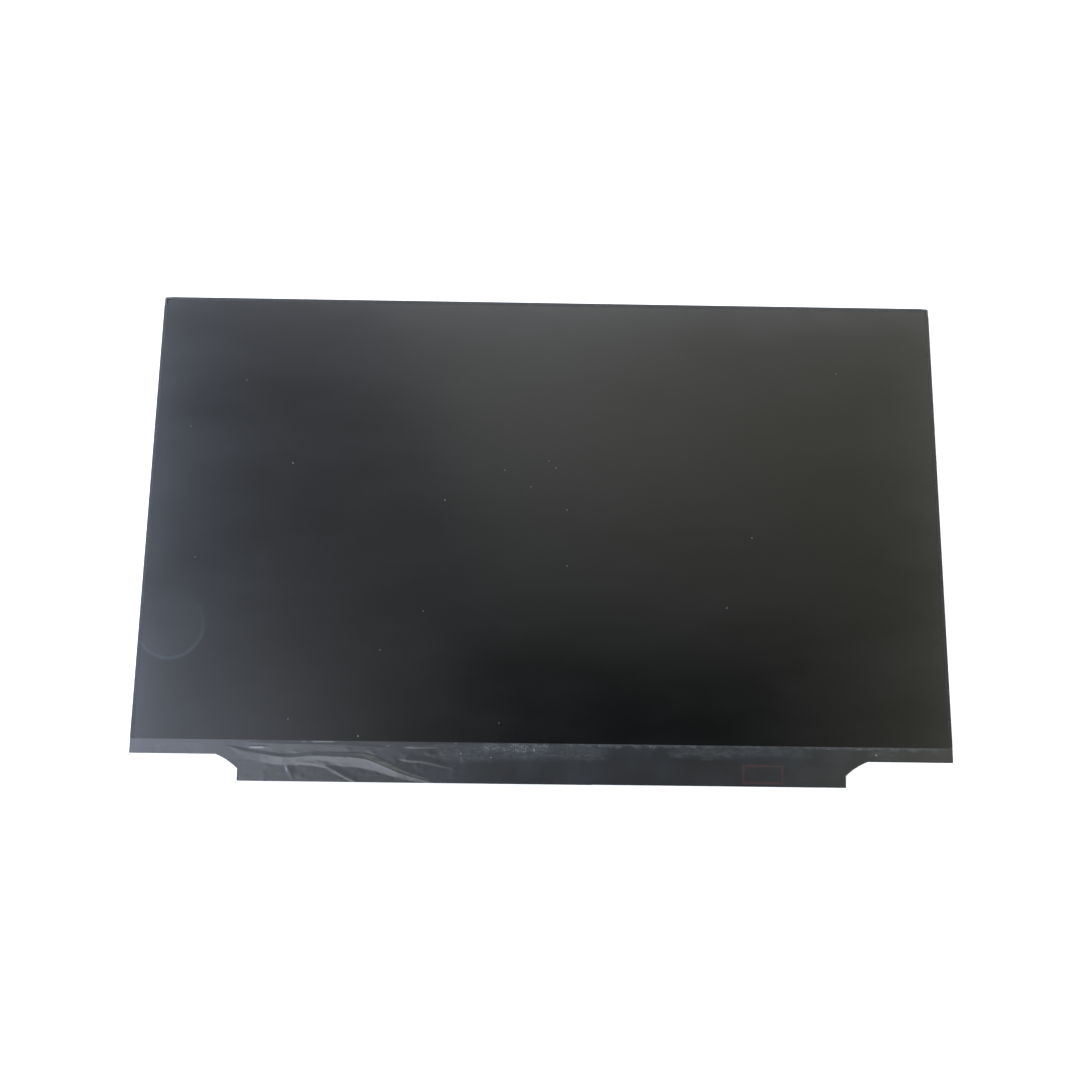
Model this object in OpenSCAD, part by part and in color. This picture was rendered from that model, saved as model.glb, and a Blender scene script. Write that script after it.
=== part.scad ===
// Display panel of a 15.6 inch laptop, as a bare module lying on its back.
// The screen faces up, the top edge of the picture is towards +Y, and the
// control board stands out below the panel towards -Y, under a black film.

/* [Panel outline] */
// Width over the edge tapes
panel_w = 350.66; // [320:0.01:380]
// Height of the panel without the board section
panel_h = 205.25; // [190:0.01:225]
// How far the board section stands out below the panel
board_reach = 11; // [10.5:0.1:13]
// Radius of the outer corners
corner_r = 1; // [0.6:0.1:2]

/* [Rear cover] */
// Thickness of the pressed aluminium sheet
cover_t = 0.3; // [0.25:0.05:0.4]
// Inside radius of the folded edges
fold_r = 0.2; // [0.1:0.05:0.3]
// Length left open between two folded walls at a corner
corner_relief = 3; // [2:0.5:6]
// How far lands and beads are pressed out to the rear
land_h = 0.12; // [0.1:0.01:0.2]
// Width of the lands that take the mounting tape
land_w = 14; // [8:1:20]
// Length of the lands that take the mounting tape
land_l = 168; // [120:1:176]
// Distance from the panel's side to the middle of a land
land_inset = 20; // [16:1:30]
// Width of the stiffening beads
bead_w = 5; // [3:0.5:8]
// Length of the stiffening beads
bead_l = 262; // [150:1:272]
// Number of stiffening beads
bead_count = 4; // [2:1:6]
// Distance between the stiffening beads
bead_pitch = 38; // [12:1:38]
// Depth of the flat strip behind the lamps, below the lowest bead
lamp_strip_h = 26; // [20:1:30]
// Radius of the two holes that locate the cover in a jig
jig_hole_r = 1; // [0.75:0.25:1.5]
// Distance of a jig hole from the panel's side
jig_inset = 9; // [7:0.5:11]

/* [Snap hooks] */
// Length of a hook
hook_l = 6; // [3:0.5:10]
// How far a hook stands out of the frame
hook_out = 0.28; // [0.15:0.01:0.3]
// Height of a hook
hook_h = 0.6; // [0.4:0.05:0.7]
// Clearance around a hook in its window
hook_play = 0.1; // [0.05:0.01:0.15]
// Hooks on each side
side_hooks = 3; // [2:1:4]
// Hooks along the top and along the bottom
long_hooks = 4; // [2:2:4]

/* [Moulded frame] */
// Clearance between the frame and the cover's walls
frame_play = 0.05; // [0.02:0.01:0.1]
// Thickness of the frame's wall beside the sheets
frame_wall = 1.3; // [1.1:0.1:1.6]
// Thickness of the frame's wall behind the lamps
lamp_wall = 0.9; // [0.8:0.05:1.1]
// Thickness of the lip that carries the glass
lip_t = 0.25; // [0.2:0.01:0.4]
// Width of the lip at the sides and the top
lip_w = 1.2; // [0.9:0.1:2]
// Width of the lip over the lamps, from the panel's bottom edge
lip_low_w = 8.3; // [7.5:0.1:9]
// Width of the rim around the glass
rim_w = 0.9; // [0.7:0.05:1.1]
// How far the cover's walls rise past the lip
wall_rise = 0.25; // [0.1:0.05:0.3]
// Length of each wing beside the control board, along the panel
wing_l = 9.8; // [6:0.2:14]
// How far the wings stand out below the panel
wing_reach = 6.2; // [4:0.1:8]
// How far the slanted edge of a wing is hollowed
wing_hollow = 0.6; // [0.3:0.1:1]
// Thickness of the wings
wing_t = 0.8; // [0.5:0.1:1]

/* [Backlight] */
// Thickness of the white reflector sheet
reflector_t = 0.19; // [0.15:0.01:0.3]
// Thickness of the light guide
guide_t = 0.55; // [0.4:0.05:0.8]
// Thickness of the lower diffuser
diffuser_t = 0.1; // [0.05:0.01:0.2]
// Thickness of each prism sheet
prism_t = 0.13; // [0.1:0.01:0.2]
// Free height over the sheets
sheet_play = 0.05; // [0.02:0.01:0.1]
// Clearance around the light guide
guide_play = 0.4; // [0.2:0.05:0.6]
// How much each sheet is shorter than the one below it, at each edge
sheet_step = 0.1; // [0.05:0.05:0.2]
// Length of the ears that hold guide and sheets
ear_l = 8; // [5:0.5:12]
// How far an ear stands out
ear_out = 0.8; // [0.5:0.05:0.9]
// Height of the ears above the panel's bottom edge
ear_y = 150; // [100:1:180]
// Number of lamps
led_count = 42; // [30:1:48]
// Width of a lamp
led_w = 3.8; // [3:0.1:4.4]
// Depth of a lamp
led_d = 0.6; // [0.4:0.05:0.8]
// Height of a lamp
led_h = 0.5; // [0.4:0.05:0.6]
// Distance from the light guide's end to the first lamp
led_margin = 3; // [1:0.5:6]
// Thickness of a lamp's body around its hollow
led_wall = 0.1; // [0.05:0.05:0.15]
// Width of the lamps' printed strip
strip_w = 4; // [3:0.1:4.5]
// Distance between the lamps and the light guide
led_gap = 0.1; // [0.05:0.05:0.2]
// Distance between the lamps and the frame behind them
led_back_gap = 0.3; // [0.1:0.05:0.4]
// Depth of the hollow that a lamp shines from
led_dish = 0.3; // [0.1:0.05:0.4]
// Gap between the strip and its neighbours
strip_play = 0.1; // [0.05:0.05:0.2]
// Place of the strip's tail along the panel
tail_x = 62; // [40:1:72]
// Width of the strip's tail
tail_w = 9; // [6:0.5:12]
// Length of the tail that is soldered to the board
tail_bond = 3; // [2:0.1:3.4]
// How far the tail reaches under the board
tail_reach = 6.3; // [5.6:0.1:7]

/* [Glass cell] */
// Thickness of each glass
glass_t = 0.4; // [0.35:0.01:0.5]
// Thickness of the rear polariser
rear_film_t = 0.12; // [0.08:0.01:0.2]
// Thickness of the front polariser
front_film_t = 0.14; // [0.1:0.01:0.2]
// Thickness of the adhesive ring between lip and cell
ring_t = 0.05; // [0.03:0.01:0.1]
// Clearance around the glass in the rim
glass_play = 0.2; // [0.1:0.05:0.3]
// Height of the ledge that is left free by the upper glass
ledge_h = 4.9; // [4.6:0.1:5.4]
// Distance from the lower glass to the panel's bottom edge
ledge_inset = 0.7; // [0.6:0.05:0.9]
// How much the rear polariser is smaller than the glass, at each edge
polariser_inset = 0.6; // [0.4:0.1:0.8]

/* [Drivers and flexes] */
// Number of driver chips, each with its flex
driver_count = 4; // [2:2:4]
// Distance from the board's end to the outermost flex
flex_margin = 3.5; // [2:0.5:10]
// Length of a driver chip
driver_l = 22; // [16:1:28]
// Width of a driver chip
driver_w = 1; // [0.8:0.1:1.2]
// Thickness of a driver chip
driver_t = 0.28; // [0.2:0.01:0.3]
// Distance from the panel's bottom edge to the driver chips
driver_y = 3.3; // [3:0.1:3.6]
// Width of a flex
flex_w = 34; // [24:1:40]
// Thickness of a flex
flex_t = 0.08; // [0.05:0.01:0.1]
// How far a flex lies on the glass
flex_bond = 1.5; // [1:0.1:2]
// How far a flex lies on the board
flex_land = 1.8; // [1.2:0.1:2.4]

/* [Control board] */
// Distance from the panel's side to the board's end
board_end = 46.8; // [44:0.2:52]
// Thickness of the board
board_t = 0.6; // [0.5:0.05:0.8]
// Gap between the panel and the board
board_gap = 0.9; // [0.6:0.1:1.2]
// How far the film stands out past the board's lower edge
board_inset = 0.1; // [0:0.05:0.3]
// Radius of the jig notches in the board's lower edge
notch_r = 0.75; // [0.5:0.05:1]
// Clearance between the board's ends and the wings
board_play = 0.4; // [0.2:0.1:0.8]
// Side of the timing controller
controller_w = 7; // [6:0.5:8]
// Side of the supply chip
supply_w = 5; // [4:0.5:6]
// Side of the lamp driver chip
lamp_driver_w = 4; // [3:0.5:5]
// Length of the memory chip
memory_l = 4.9; // [4:0.1:5.2]
// Height of the flat chips
chip_h = 0.8; // [0.6:0.05:1]
// Distance between the leads of a flat chip
lead_pitch = 0.5; // [0.4:0.05:0.65]
// Side of a power coil
coil_w = 4; // [3:0.25:4.5]
// Height of a power coil
coil_h = 1.2; // [0.8:0.05:1.3]
// Length of a rectifier
rectifier_l = 2.6; // [2:0.1:3]
// Height of a rectifier
rectifier_h = 1; // [0.8:0.05:1.1]
// Length of the fuse
fuse_l = 3.2; // [2:0.1:3.4]
// Length of the small chip parts
small_l = 1; // [0.8:0.1:1.2]
// Length of the middle-sized chip parts
mid_l = 1.6; // [1.4:0.1:1.8]
// Length of the large chip parts
large_l = 2; // [1.8:0.1:2.2]
// Gap between chip parts in a row
chip_gap = 0.8; // [0.5:0.05:1]
// Distance of the rows of chip parts from the board's middle
row_y = 2.8; // [2.6:0.1:3.2]
// Place of the power coils along the panel
coil_x = 16; // [14:1:20]
// Distance between the power coils
coil_pitch = 7; // [6:0.5:8]
// Width of the ground foil behind the board
foil_w = 16; // [8:1:18]
// Place of the ground foil along the panel
foil_x = 93; // [88:1:98]
// Length of the ground foil on the rear cover
foil_l = 7; // [4:0.5:10]
// Length of the ground foil on the board
foil_bond = 4; // [2:0.5:6]

/* [Signal socket] */
// Distance from the board's end to the middle of the socket
socket_inset = 30.5; // [16:0.5:44]
// Number of contacts
contact_count = 30; // [20:2:40]
// Distance between contacts
contact_pitch = 0.5; // [0.4:0.05:0.5]
// Width of a contact
contact_w = 0.2; // [0.15:0.01:0.22]
// Length of each end block beside the contacts
socket_end = 2.3; // [1.8:0.1:3]
// Depth of the socket
socket_d = 4; // [3.6:0.1:4.4]
// Height of the socket
socket_h = 1.1; // [1:0.05:1.2]
// Thickness of the socket's shell
shell_t = 0.12; // [0.1:0.01:0.15]
// Clearance beside each contact
contact_play = 0.03; // [0.02:0.01:0.05]

/* [Film and tapes] */
// Thickness of the black film over ledge and board
film_t = 0.08; // [0.05:0.01:0.12]
// Clearance under the film
film_play = 0.02; // [0.01:0.01:0.05]
// Where the film's lower edge steps back from the board's, along the panel
film_step_x = 21; // [0:1:60]
// How far the film's lower edge steps back there
film_step = 0.4; // [0.1:0.1:1]
// How far the film stands out past each end of the board
film_over = 0.6; // [0.2:0.1:1]
// Overlap of the film on the upper glass
film_lap = 0.5; // [0.3:0.1:0.8]
// Length of the film's loose, creased stretch
crease_l = 100; // [60:1:110]
// Height of the film's highest crease
crease_h = 0.5; // [0.1:0.05:0.6]
// Half width of a crease
crease_w = 2.2; // [1.6:0.1:4]
// Distance between the columns of the creased film's mesh
film_grain = 1.4; // [1.2:0.1:2]
// Thickness of the edge tapes
tape_t = 0.06; // [0.04:0.01:0.08]
// Width of the edge tapes on the screen side
tape_front = 1.5; // [1.4:0.05:1.8]
// Width of the edge tapes on the rear cover
tape_back = 3.5; // [2:0.1:5]
// Gap between a tape or film and the polariser
tape_gap = 0.1; // [0.05:0.05:0.2]
// Gap between the end of a tape and its neighbour
tape_end_gap = 0.4; // [0.2:0.1:2]

/* [Hidden] */
$fn = 48;
through = 1;

// Outline, with the middle of the whole object at the origin
y_top = (panel_h + board_reach) / 2;
y_edge = y_top - panel_h;
y_low = y_edge - board_reach;

// Side to side, as half widths: tape, cover, frame, glass, sheets
cover_x = panel_w / 2 - tape_t;
frame_x = cover_x - cover_t - frame_play;
seat_x = cover_x - rim_w;
glass_x = seat_x - glass_play;
pocket_x = frame_x - frame_wall;
guide_x = pocket_x - guide_play;
aperture_x = pocket_x - lip_w;
screen_x = panel_w / 2 - tape_front - tape_gap;

// Top edge, from the outside in
cover_top = y_top - tape_t;
frame_top = cover_top - cover_t - frame_play;
seat_top = cover_top - rim_w;
glass_top = seat_top - glass_play;
pocket_top = frame_top - frame_wall;
guide_top = pocket_top - guide_play;
aperture_top = pocket_top - lip_w;
screen_top = y_top - tape_front - tape_gap;

// Bottom edge, from the outside in
frame_low = y_edge + cover_t + frame_play;
pocket_low = frame_low + lamp_wall;
led_back = pocket_low + led_back_gap;
guide_low = led_back + led_d + led_gap;
strip_low = pocket_low + strip_play;
strip_top = strip_low + strip_w;
glass_low = y_edge + ledge_inset;
seat_low = glass_low - glass_play;
upper_glass_low = glass_low + ledge_h;
film_top = upper_glass_low + film_lap;
screen_low = film_top + tape_gap;
aperture_low = y_edge + lip_low_w;

// Heights, from the rear cover's lands to the screen
z_back = land_h;
z_in = z_back + cover_t;
z_guide = z_in + reflector_t;
z_diffuser = z_guide + guide_t;
z_prism_1 = z_diffuser + diffuser_t;
z_prism_2 = z_prism_1 + prism_t;
z_lip = z_prism_2 + prism_t + sheet_play;
z_ring = z_lip + lip_t;
z_wall = z_ring + wall_rise;
hook_z = z_in + 0.5;
z_rear_film = z_ring + ring_t;
z_lower_glass = z_rear_film + rear_film_t;
z_ledge = z_lower_glass + glass_t;
z_rim = z_ledge + glass_t;
z_screen = z_rim + front_film_t;
z_film = z_ledge + flex_t + film_play;
z_board = z_ledge - board_t;

// Board section
board_high = y_edge - board_gap;
board_low = y_low + board_inset;
board_mid = (board_high + board_low) / 2;
board_depth = board_high - board_low;
board_x = panel_w / 2 - board_end;
wing_in = board_x + board_play;
wing_out = wing_in + wing_l;
film_end = board_x + film_over;
socket_x = socket_inset - board_x;
socket_w = (contact_count - 1) * contact_pitch + 2 * socket_end;
tail_low = board_high - tail_reach;

function spread(count, pitch) = [for (i = [0:count - 1]) (i - (count - 1) / 2) * pitch];
function mix(a, b, t) = a + (b - a) * t;

side_hook_y = [for (p = spread(side_hooks, panel_h / (side_hooks + 1))) y_edge + panel_h / 2 + p];
long_hook_x = spread(long_hooks, panel_w / long_hooks);
driver_x = spread(driver_count, 2 * (board_x - flex_margin - flex_w / 2) / (driver_count - 1));
bead_y = [for (p = spread(bead_count, bead_pitch))
          (y_edge + lamp_strip_h + y_top - land_inset) / 2 + p];

module slab(half_w, y0, y1, z0, z1) {
  translate([-half_w, y0, z0]) cube([2 * half_w, y1 - y0, z1 - z0]);
}

module round_rect(w, h, r) {
  square([w - 2 * r, h], center = true);
  square([w, h - 2 * r], center = true);
  for (x = [-1, 1], y = [-1, 1])
    translate([x * (w / 2 - r), y * (h / 2 - r)]) circle(r);
}

module round_slab(half_w, y0, y1, z0, z1, r) {
  translate([0, (y0 + y1) / 2, z0]) linear_extrude(z1 - z0) round_rect(2 * half_w, y1 - y0, r);
}

// A profile drawn in Y and Z, as long as the part is along X
module along_x(x0, x1) {
  translate([x0, 0, 0]) rotate([90, 0, 90]) linear_extrude(x1 - x0) children();
}

// Pressed rear cover

module pressed_pads(grow, z0, z1) {
  translate([0, 0, z0]) linear_extrude(z1 - z0) {
    for (side = [-1, 1])
      translate([side * (panel_w / 2 - land_inset), y_edge + panel_h / 2])
        round_rect(land_w + 2 * grow, land_l + 2 * grow, 2 + grow);
    for (y = bead_y)
      translate([0, y]) round_rect(bead_l + 2 * grow, bead_w + 2 * grow, bead_w / 2 - 0.2 + grow);
  }
}

// One folded edge: the wall rises at the origin, and the foot runs to +X
module fold_profile() {
  r_out = fold_r + cover_t;
  difference() {
    union() {
      translate([0, r_out]) square([cover_t, z_wall - z_back - r_out]);
      translate([r_out, 0]) square([cover_t, cover_t]);
      intersection() {
        translate([r_out, r_out]) circle(r_out);
        square(r_out);
      }
    }
    translate([r_out, r_out]) circle(fold_r);
  }
}

module folded_wall(l) {
  rotate([90, 0, 0]) translate([0, 0, -l / 2]) linear_extrude(l) fold_profile();
}

module hook_window(l) {
  translate([0, 0, hook_z + hook_h / 2])
    cube([2 * (cover_t + hook_out), l + 2 * hook_play, hook_h + 2 * hook_play], center = true);
}

// Places its children at each hook, with +X pointing out of the panel
module at_hooks(inset) {
  for (side = [-1, 1], y = side_hook_y)
    translate([side * (cover_x - inset), y, 0]) rotate([0, 0, side < 0 ? 180 : 0]) children();
  for (x = long_hook_x) {
    translate([x, cover_top - inset, 0]) rotate([0, 0, 90]) children();
    translate([x, y_edge + inset, 0]) rotate([0, 0, -90]) children();
  }
}

module rear_cover() {
  r_out = fold_r + cover_t;
  side_l = cover_top - y_edge - 2 * corner_relief;
  long_l = 2 * (cover_x - corner_relief);
  color("silver") difference() {
    union() {
      round_slab(cover_x - r_out, y_edge + r_out, cover_top - r_out, z_back, z_in, corner_r / 2);
      for (side = [-1, 1])
        translate([side * cover_x, (y_edge + cover_top) / 2, z_back])
          rotate([0, 0, side < 0 ? 0 : 180]) folded_wall(side_l);
      translate([0, cover_top, z_back]) rotate([0, 0, -90]) folded_wall(long_l);
      translate([0, y_edge, z_back]) rotate([0, 0, 90]) folded_wall(long_l);
      pressed_pads(0, 0, z_back);
    }
    pressed_pads(-cover_t, cover_t, z_in + through);
    at_hooks(0) hook_window(hook_l);
    // the way out of the lamp strip's tail
    translate([tail_x - tail_w / 2 - 1, y_edge - through, z_in])
      cube([tail_w + 2, through + r_out + cover_t, z_wall]);
    for (side = [-1, 1])
      translate([side * (cover_x - jig_inset), y_edge + lamp_strip_h / 2, 0])
        cylinder(r = jig_hole_r, h = z_in + through);
  }
}

// Moulded frame

module hook() {
  rotate([90, 0, 0]) translate([0, hook_z, -hook_l / 2]) linear_extrude(hook_l)
    polygon([[-0.2, 0], [0, 0], [hook_out, hook_h * 0.6], [hook_out, hook_h], [-0.2, hook_h]]);
}

module foot_chamfer(l) {
  c = fold_r + 0.1;
  rotate([90, 0, 0]) translate([0, 0, -l / 2]) linear_extrude(l)
    polygon([[-c, -0.01], [0.01, -0.01], [0.01, c]]);
}

// The wing fills the corner between the panel and the board. Its slanted edge is an arc
// that starts at the panel's edge and ends beside the board.
wing_chord = sqrt(wing_l * wing_l + wing_reach * wing_reach);
wing_r = (wing_chord * wing_chord / 4 + wing_hollow * wing_hollow) / (2 * wing_hollow);
wing_cx = wing_in + wing_l / 2 + wing_reach / wing_chord * (wing_r - wing_hollow);
wing_cy = y_edge - wing_reach / 2 - wing_l / wing_chord * (wing_r - wing_hollow);

module wing_outline(inner, inset) {
  difference() {
    polygon([[inner, y_edge + 0.2], [wing_out - inset, y_edge + 0.2], [wing_out - inset, y_edge],
             [wing_in, y_edge - wing_reach + inset], [inner, y_edge - wing_reach + inset]]);
    translate([wing_cx, wing_cy]) circle(wing_r + inset, $fn = 180);
  }
}

module both_sides() {
  children();
  mirror([1, 0, 0]) children();
}

// Underside of the film from the upper glass down to the board, in Y and Z
film_on_chips = y_edge + driver_y - 0.2;
film_on_board = y_edge + 1;
film_line = [[film_top, z_rim + film_play], [upper_glass_low, z_rim + film_play],
             [film_on_chips, z_ledge + driver_t + film_play],
             [film_on_board, z_film], [y_low, z_film]];

module frame_body() {
  difference() {
    slab(frame_x, frame_low, frame_top, z_in, z_wall + frame_play);
    for (side = [-1, 1])
      translate([side * frame_x, 0, z_in]) rotate([0, 0, side < 0 ? 180 : 0])
        foot_chamfer(panel_h + 2 * board_reach);
    translate([0, frame_top, z_in]) rotate([0, 0, 90]) foot_chamfer(panel_w);
    translate([0, frame_low, z_in]) rotate([0, 0, -90]) foot_chamfer(panel_w);
  }
  round_slab(cover_x, y_edge, cover_top, z_wall + frame_play, z_rim, corner_r);
  // posts that fill the open corners of the cover
  intersection() {
    round_slab(cover_x, y_edge, cover_top, z_in, z_wall + 2 * frame_play, corner_r);
    union() {
      post = corner_relief - 0.1;
      for (side = [-1, 1], y = [y_edge, cover_top - post])
        translate([side * (cover_x - post / 2) - post / 2, y, z_in]) cube([post, post, z_wall]);
    }
  }
  at_hooks(cover_t + frame_play) hook();
  both_sides() {
    translate([0, 0, z_film - film_play - wing_t]) linear_extrude(wing_t)
      difference() {
        wing_outline(wing_in, 0.3);
        translate([wing_in - 1, y_edge - frame_play]) square([wing_l + 2, 1]);
      }
    translate([0, 0, z_wall + frame_play]) linear_extrude(z_film - film_play - z_wall - frame_play)
      wing_outline(wing_in, 0.3);
  }
}

module mould_frame() {
  color("#1c1d1f") difference() {
    frame_body();
    slab(pocket_x, pocket_low, pocket_top, z_in - through, z_lip);
    slab(pocket_x + ear_out + guide_play, ear_edge - guide_play / 2,
         ear_edge + ear_l + guide_play / 2, z_in - through, z_lip);
    slab(aperture_x, aperture_low, aperture_top, 0, z_rim);
    slab(seat_x, seat_low, seat_top, z_ring, z_rim + through);
    // the rim stays under the film, and lower still where the flexes pass
    along_x(-panel_w, panel_w) polygon(concat(film_line, [[y_low, z_rim + 1], [film_top, z_rim + 1]]));
    translate([-flex_span, y_edge - through, z_ledge - film_play])
      cube([2 * flex_span, through + seat_low - y_edge + 0.1, z_rim]);
    // the way out of the lamp strip's tail
    translate([tail_x - tail_w / 2 - 0.5, y_edge - through, z_in - through])
      cube([tail_w + 1, pocket_low - y_edge + 2 * through, through + reflector_t + 0.15]);
  }
}

// Backlight

ear_edge = y_edge + ear_y;
flex_span = max(driver_x) + flex_w / 2 + 1;

module optic_sheet(z, t, inset, low) {
  slab(guide_x - inset, low, guide_top - inset, z, z + t);
  slab(guide_x + ear_out, ear_edge + inset, ear_edge + ear_l - inset, z, z + t);
}

module reflector_sheet() {
  color("white") optic_sheet(z_in, reflector_t, 0, strip_top + strip_play);
}

module light_guide() {
  color("aliceblue", 0.6) optic_sheet(z_guide, guide_t, 0, guide_low);
}

module lower_diffuser() {
  color("ghostwhite") optic_sheet(z_diffuser, diffuser_t, sheet_step, guide_low + sheet_step);
}

module lower_prism_sheet() {
  color("gainsboro") optic_sheet(z_prism_1, prism_t, 2 * sheet_step, guide_low + 2 * sheet_step);
}

module upper_prism_sheet() {
  color("lightgray") optic_sheet(z_prism_2, prism_t, 3 * sheet_step, guide_low + 3 * sheet_step);
}

// The strip carries the lamps, and its tail bends up to the board's rear face
module lamp_strip() {
  t = reflector_t;
  color("tan") {
    slab(guide_x, strip_low, strip_top, z_in, z_in + t);
    along_x(tail_x - tail_w / 2, tail_x + tail_w / 2)
      polygon([[strip_low + 0.5, z_in], [y_edge - 0.2, z_in], [tail_low + tail_bond, z_board - t],
               [tail_low, z_board - t], [tail_low, z_board], [tail_low + tail_bond, z_board],
               [y_edge - 0.2, z_in + t], [strip_low + 0.5, z_in + t]]);
  }
}

module lamps() {
  led_pitch = (2 * (guide_x - led_margin) - led_w) / (led_count - 1);
  color("lightyellow") for (x = spread(led_count, led_pitch))
    translate([x - led_w / 2, led_back, z_guide]) difference() {
      cube([led_w, led_d, led_h]);
      translate([3 * led_wall, led_d - led_dish, led_wall])
        cube([led_w - 6 * led_wall, led_d, led_h - 2 * led_wall]);
    }
}

// Glass cell

module cell_adhesive_ring() {
  color("#202020") difference() {
    slab(glass_x - polariser_inset, glass_low + polariser_inset, glass_top - polariser_inset,
         z_ring, z_rear_film);
    slab(aperture_x + 0.1, aperture_low - 0.1, aperture_top + 0.1, z_ring - through,
         z_rear_film + through);
  }
}

module rear_polariser() {
  color("#39393c") slab(glass_x - polariser_inset, glass_low + polariser_inset,
                        glass_top - polariser_inset, z_rear_film, z_lower_glass);
}

module lower_glass() {
  color("#5c6a68") slab(glass_x, glass_low, glass_top, z_lower_glass, z_ledge);
}

module upper_glass() {
  color("#1b1c1e") slab(glass_x, upper_glass_low, glass_top, z_ledge, z_rim);
}

module front_polariser() {
  color("#2b2c2d") slab(screen_x, screen_low, screen_top, z_rim, z_screen);
}

module driver_chip(x) {
  color("#33363a") translate([x - driver_l / 2, y_edge + driver_y, z_ledge])
    cube([driver_l, driver_w, driver_t]);
}

// A flex with shoulders: it is narrower on the board than on the glass
module bridge_flex(x) {
  neck = flex_w / 2 - 3;
  high = glass_low + flex_bond;
  low = board_high - flex_land;
  color("#7a4a1e") translate([x, 0, z_ledge]) linear_extrude(flex_t)
    polygon([[-flex_w / 2, high], [-flex_w / 2, y_edge], [-neck, board_high], [-neck, low],
             [neck, low], [neck, board_high], [flex_w / 2, y_edge], [flex_w / 2, high]]);
}

// Control board

module control_board() {
  color("#1d4a30") translate([0, 0, z_board]) linear_extrude(board_t) difference() {
    translate([-board_x, board_low]) square([2 * board_x, board_depth]);
    for (side = [-1, 1]) {
      translate([side * (board_x - 8), board_low]) circle(notch_r);
      translate([side * (board_x - 46), board_low]) circle(notch_r);
      translate([side * board_x, board_high]) rotate(45) square(1.4, center = true);
      translate([side * board_x, board_low]) rotate(45) square(1.4, center = true);
    }
  }
}

// Places its children on the board's rear face, with +Z away from the board
module on_board(x, dy) {
  translate([x, board_mid + dy, z_board]) mirror([0, 0, 1]) children();
}

// Places along the board, and how the parts are laid out around them
controller_x = -34;
filter_x = -7;
supply_x = 42;
lamp_driver_x = 76;
memory_x = -56;
fuse_x = -80;
rectifier_x = [coil_x + 2 * coil_pitch, coil_x - coil_pitch];
supply_y = -0.6;
memory_y = 0.6;
coil_y = row_y - 1.2;
solder_t = 0.05;
lead_out = 0.08;
lead_w = 0.45 * lead_pitch;
lead_t = 0.15;

module flat_chip(w) {
  translate([0, 0, solder_t]) linear_extrude(chip_h - solder_t) difference() {
    square(w, center = true);
    translate([-w / 2, -w / 2]) rotate(45) square(w / 12, center = true);
  }
}

module timing_controller() {
  color("#222326") on_board(controller_x, 0) flat_chip(controller_w);
}

module supply_chip() {
  color("#222326") on_board(supply_x, supply_y) flat_chip(supply_w);
}

module lamp_driver_chip() {
  color("#222326") on_board(lamp_driver_x, 0) flat_chip(lamp_driver_w);
}

module memory_chip() {
  color("#222326") on_board(memory_x, memory_y)
    translate([-memory_l / 2, -0.4 * memory_l, 2 * solder_t]) cube([memory_l, 0.8 * memory_l, chip_h]);
}

// Leads of a flat chip: tinned ends along its four sides
module side_leads(w) {
  for (turn = [0:3]) rotate(90 * turn)
    for (x = spread(floor((w - 1) / lead_pitch), lead_pitch))
      translate([x - lead_w / 2, w / 2, 0]) cube([lead_w, lead_out, 0.3 * chip_h]);
}

// Gull wing leads of the memory chip, four on each long side
module wing_leads() {
  for (side = [0, 180]) rotate(side) for (x = spread(4, 2.5 * lead_pitch))
    translate([x + lead_w, 0.4 * memory_l, 0]) rotate([90, 0, -90]) linear_extrude(2 * lead_w)
      polygon([[0, 0.4], [-0.5, 0.4], [-0.5, 0], [-1.1, 0], [-1.1, lead_t],
               [-0.5 - lead_t, lead_t], [-0.5 - lead_t, 0.4 + lead_t], [0, 0.4 + lead_t]]);
}

module chip_leads() {
  color("lightgray") {
    on_board(controller_x, 0) side_leads(controller_w);
    on_board(supply_x, supply_y) side_leads(supply_w);
    on_board(lamp_driver_x, 0) side_leads(lamp_driver_w);
    on_board(memory_x, memory_y) wing_leads();
  }
}

module power_coil(x) {
  color("#4b4d50") on_board(x, coil_y) difference() {
    linear_extrude(coil_h) round_rect(coil_w, coil_w, coil_w / 8);
    translate([0, 0, 0.9 * coil_h]) difference() {
      cylinder(r = coil_w * 0.44, h = 1);
      cylinder(r = coil_w * 0.36, h = 1);
    }
  }
}

module rectifier(x) {
  color("#2a2a2c") on_board(x, -row_y)
    translate([-rectifier_l / 2, -0.3 * rectifier_l, solder_t])
      cube([rectifier_l, 0.6 * rectifier_l, rectifier_h - solder_t]);
}

// A row of chip parts: each has its place, its length and its height
function chip_row(count, x, y, l, h) = [for (dx = spread(count, l / 2 + chip_gap)) [x + dx, y, l, h]];

// Middle of a row that starts beside a chip of width w
function beside(x, w, side, count, l) =
  x + side * (w / 2 + 1.5 * chip_gap + count * (l / 2 + chip_gap) / 2);

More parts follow.
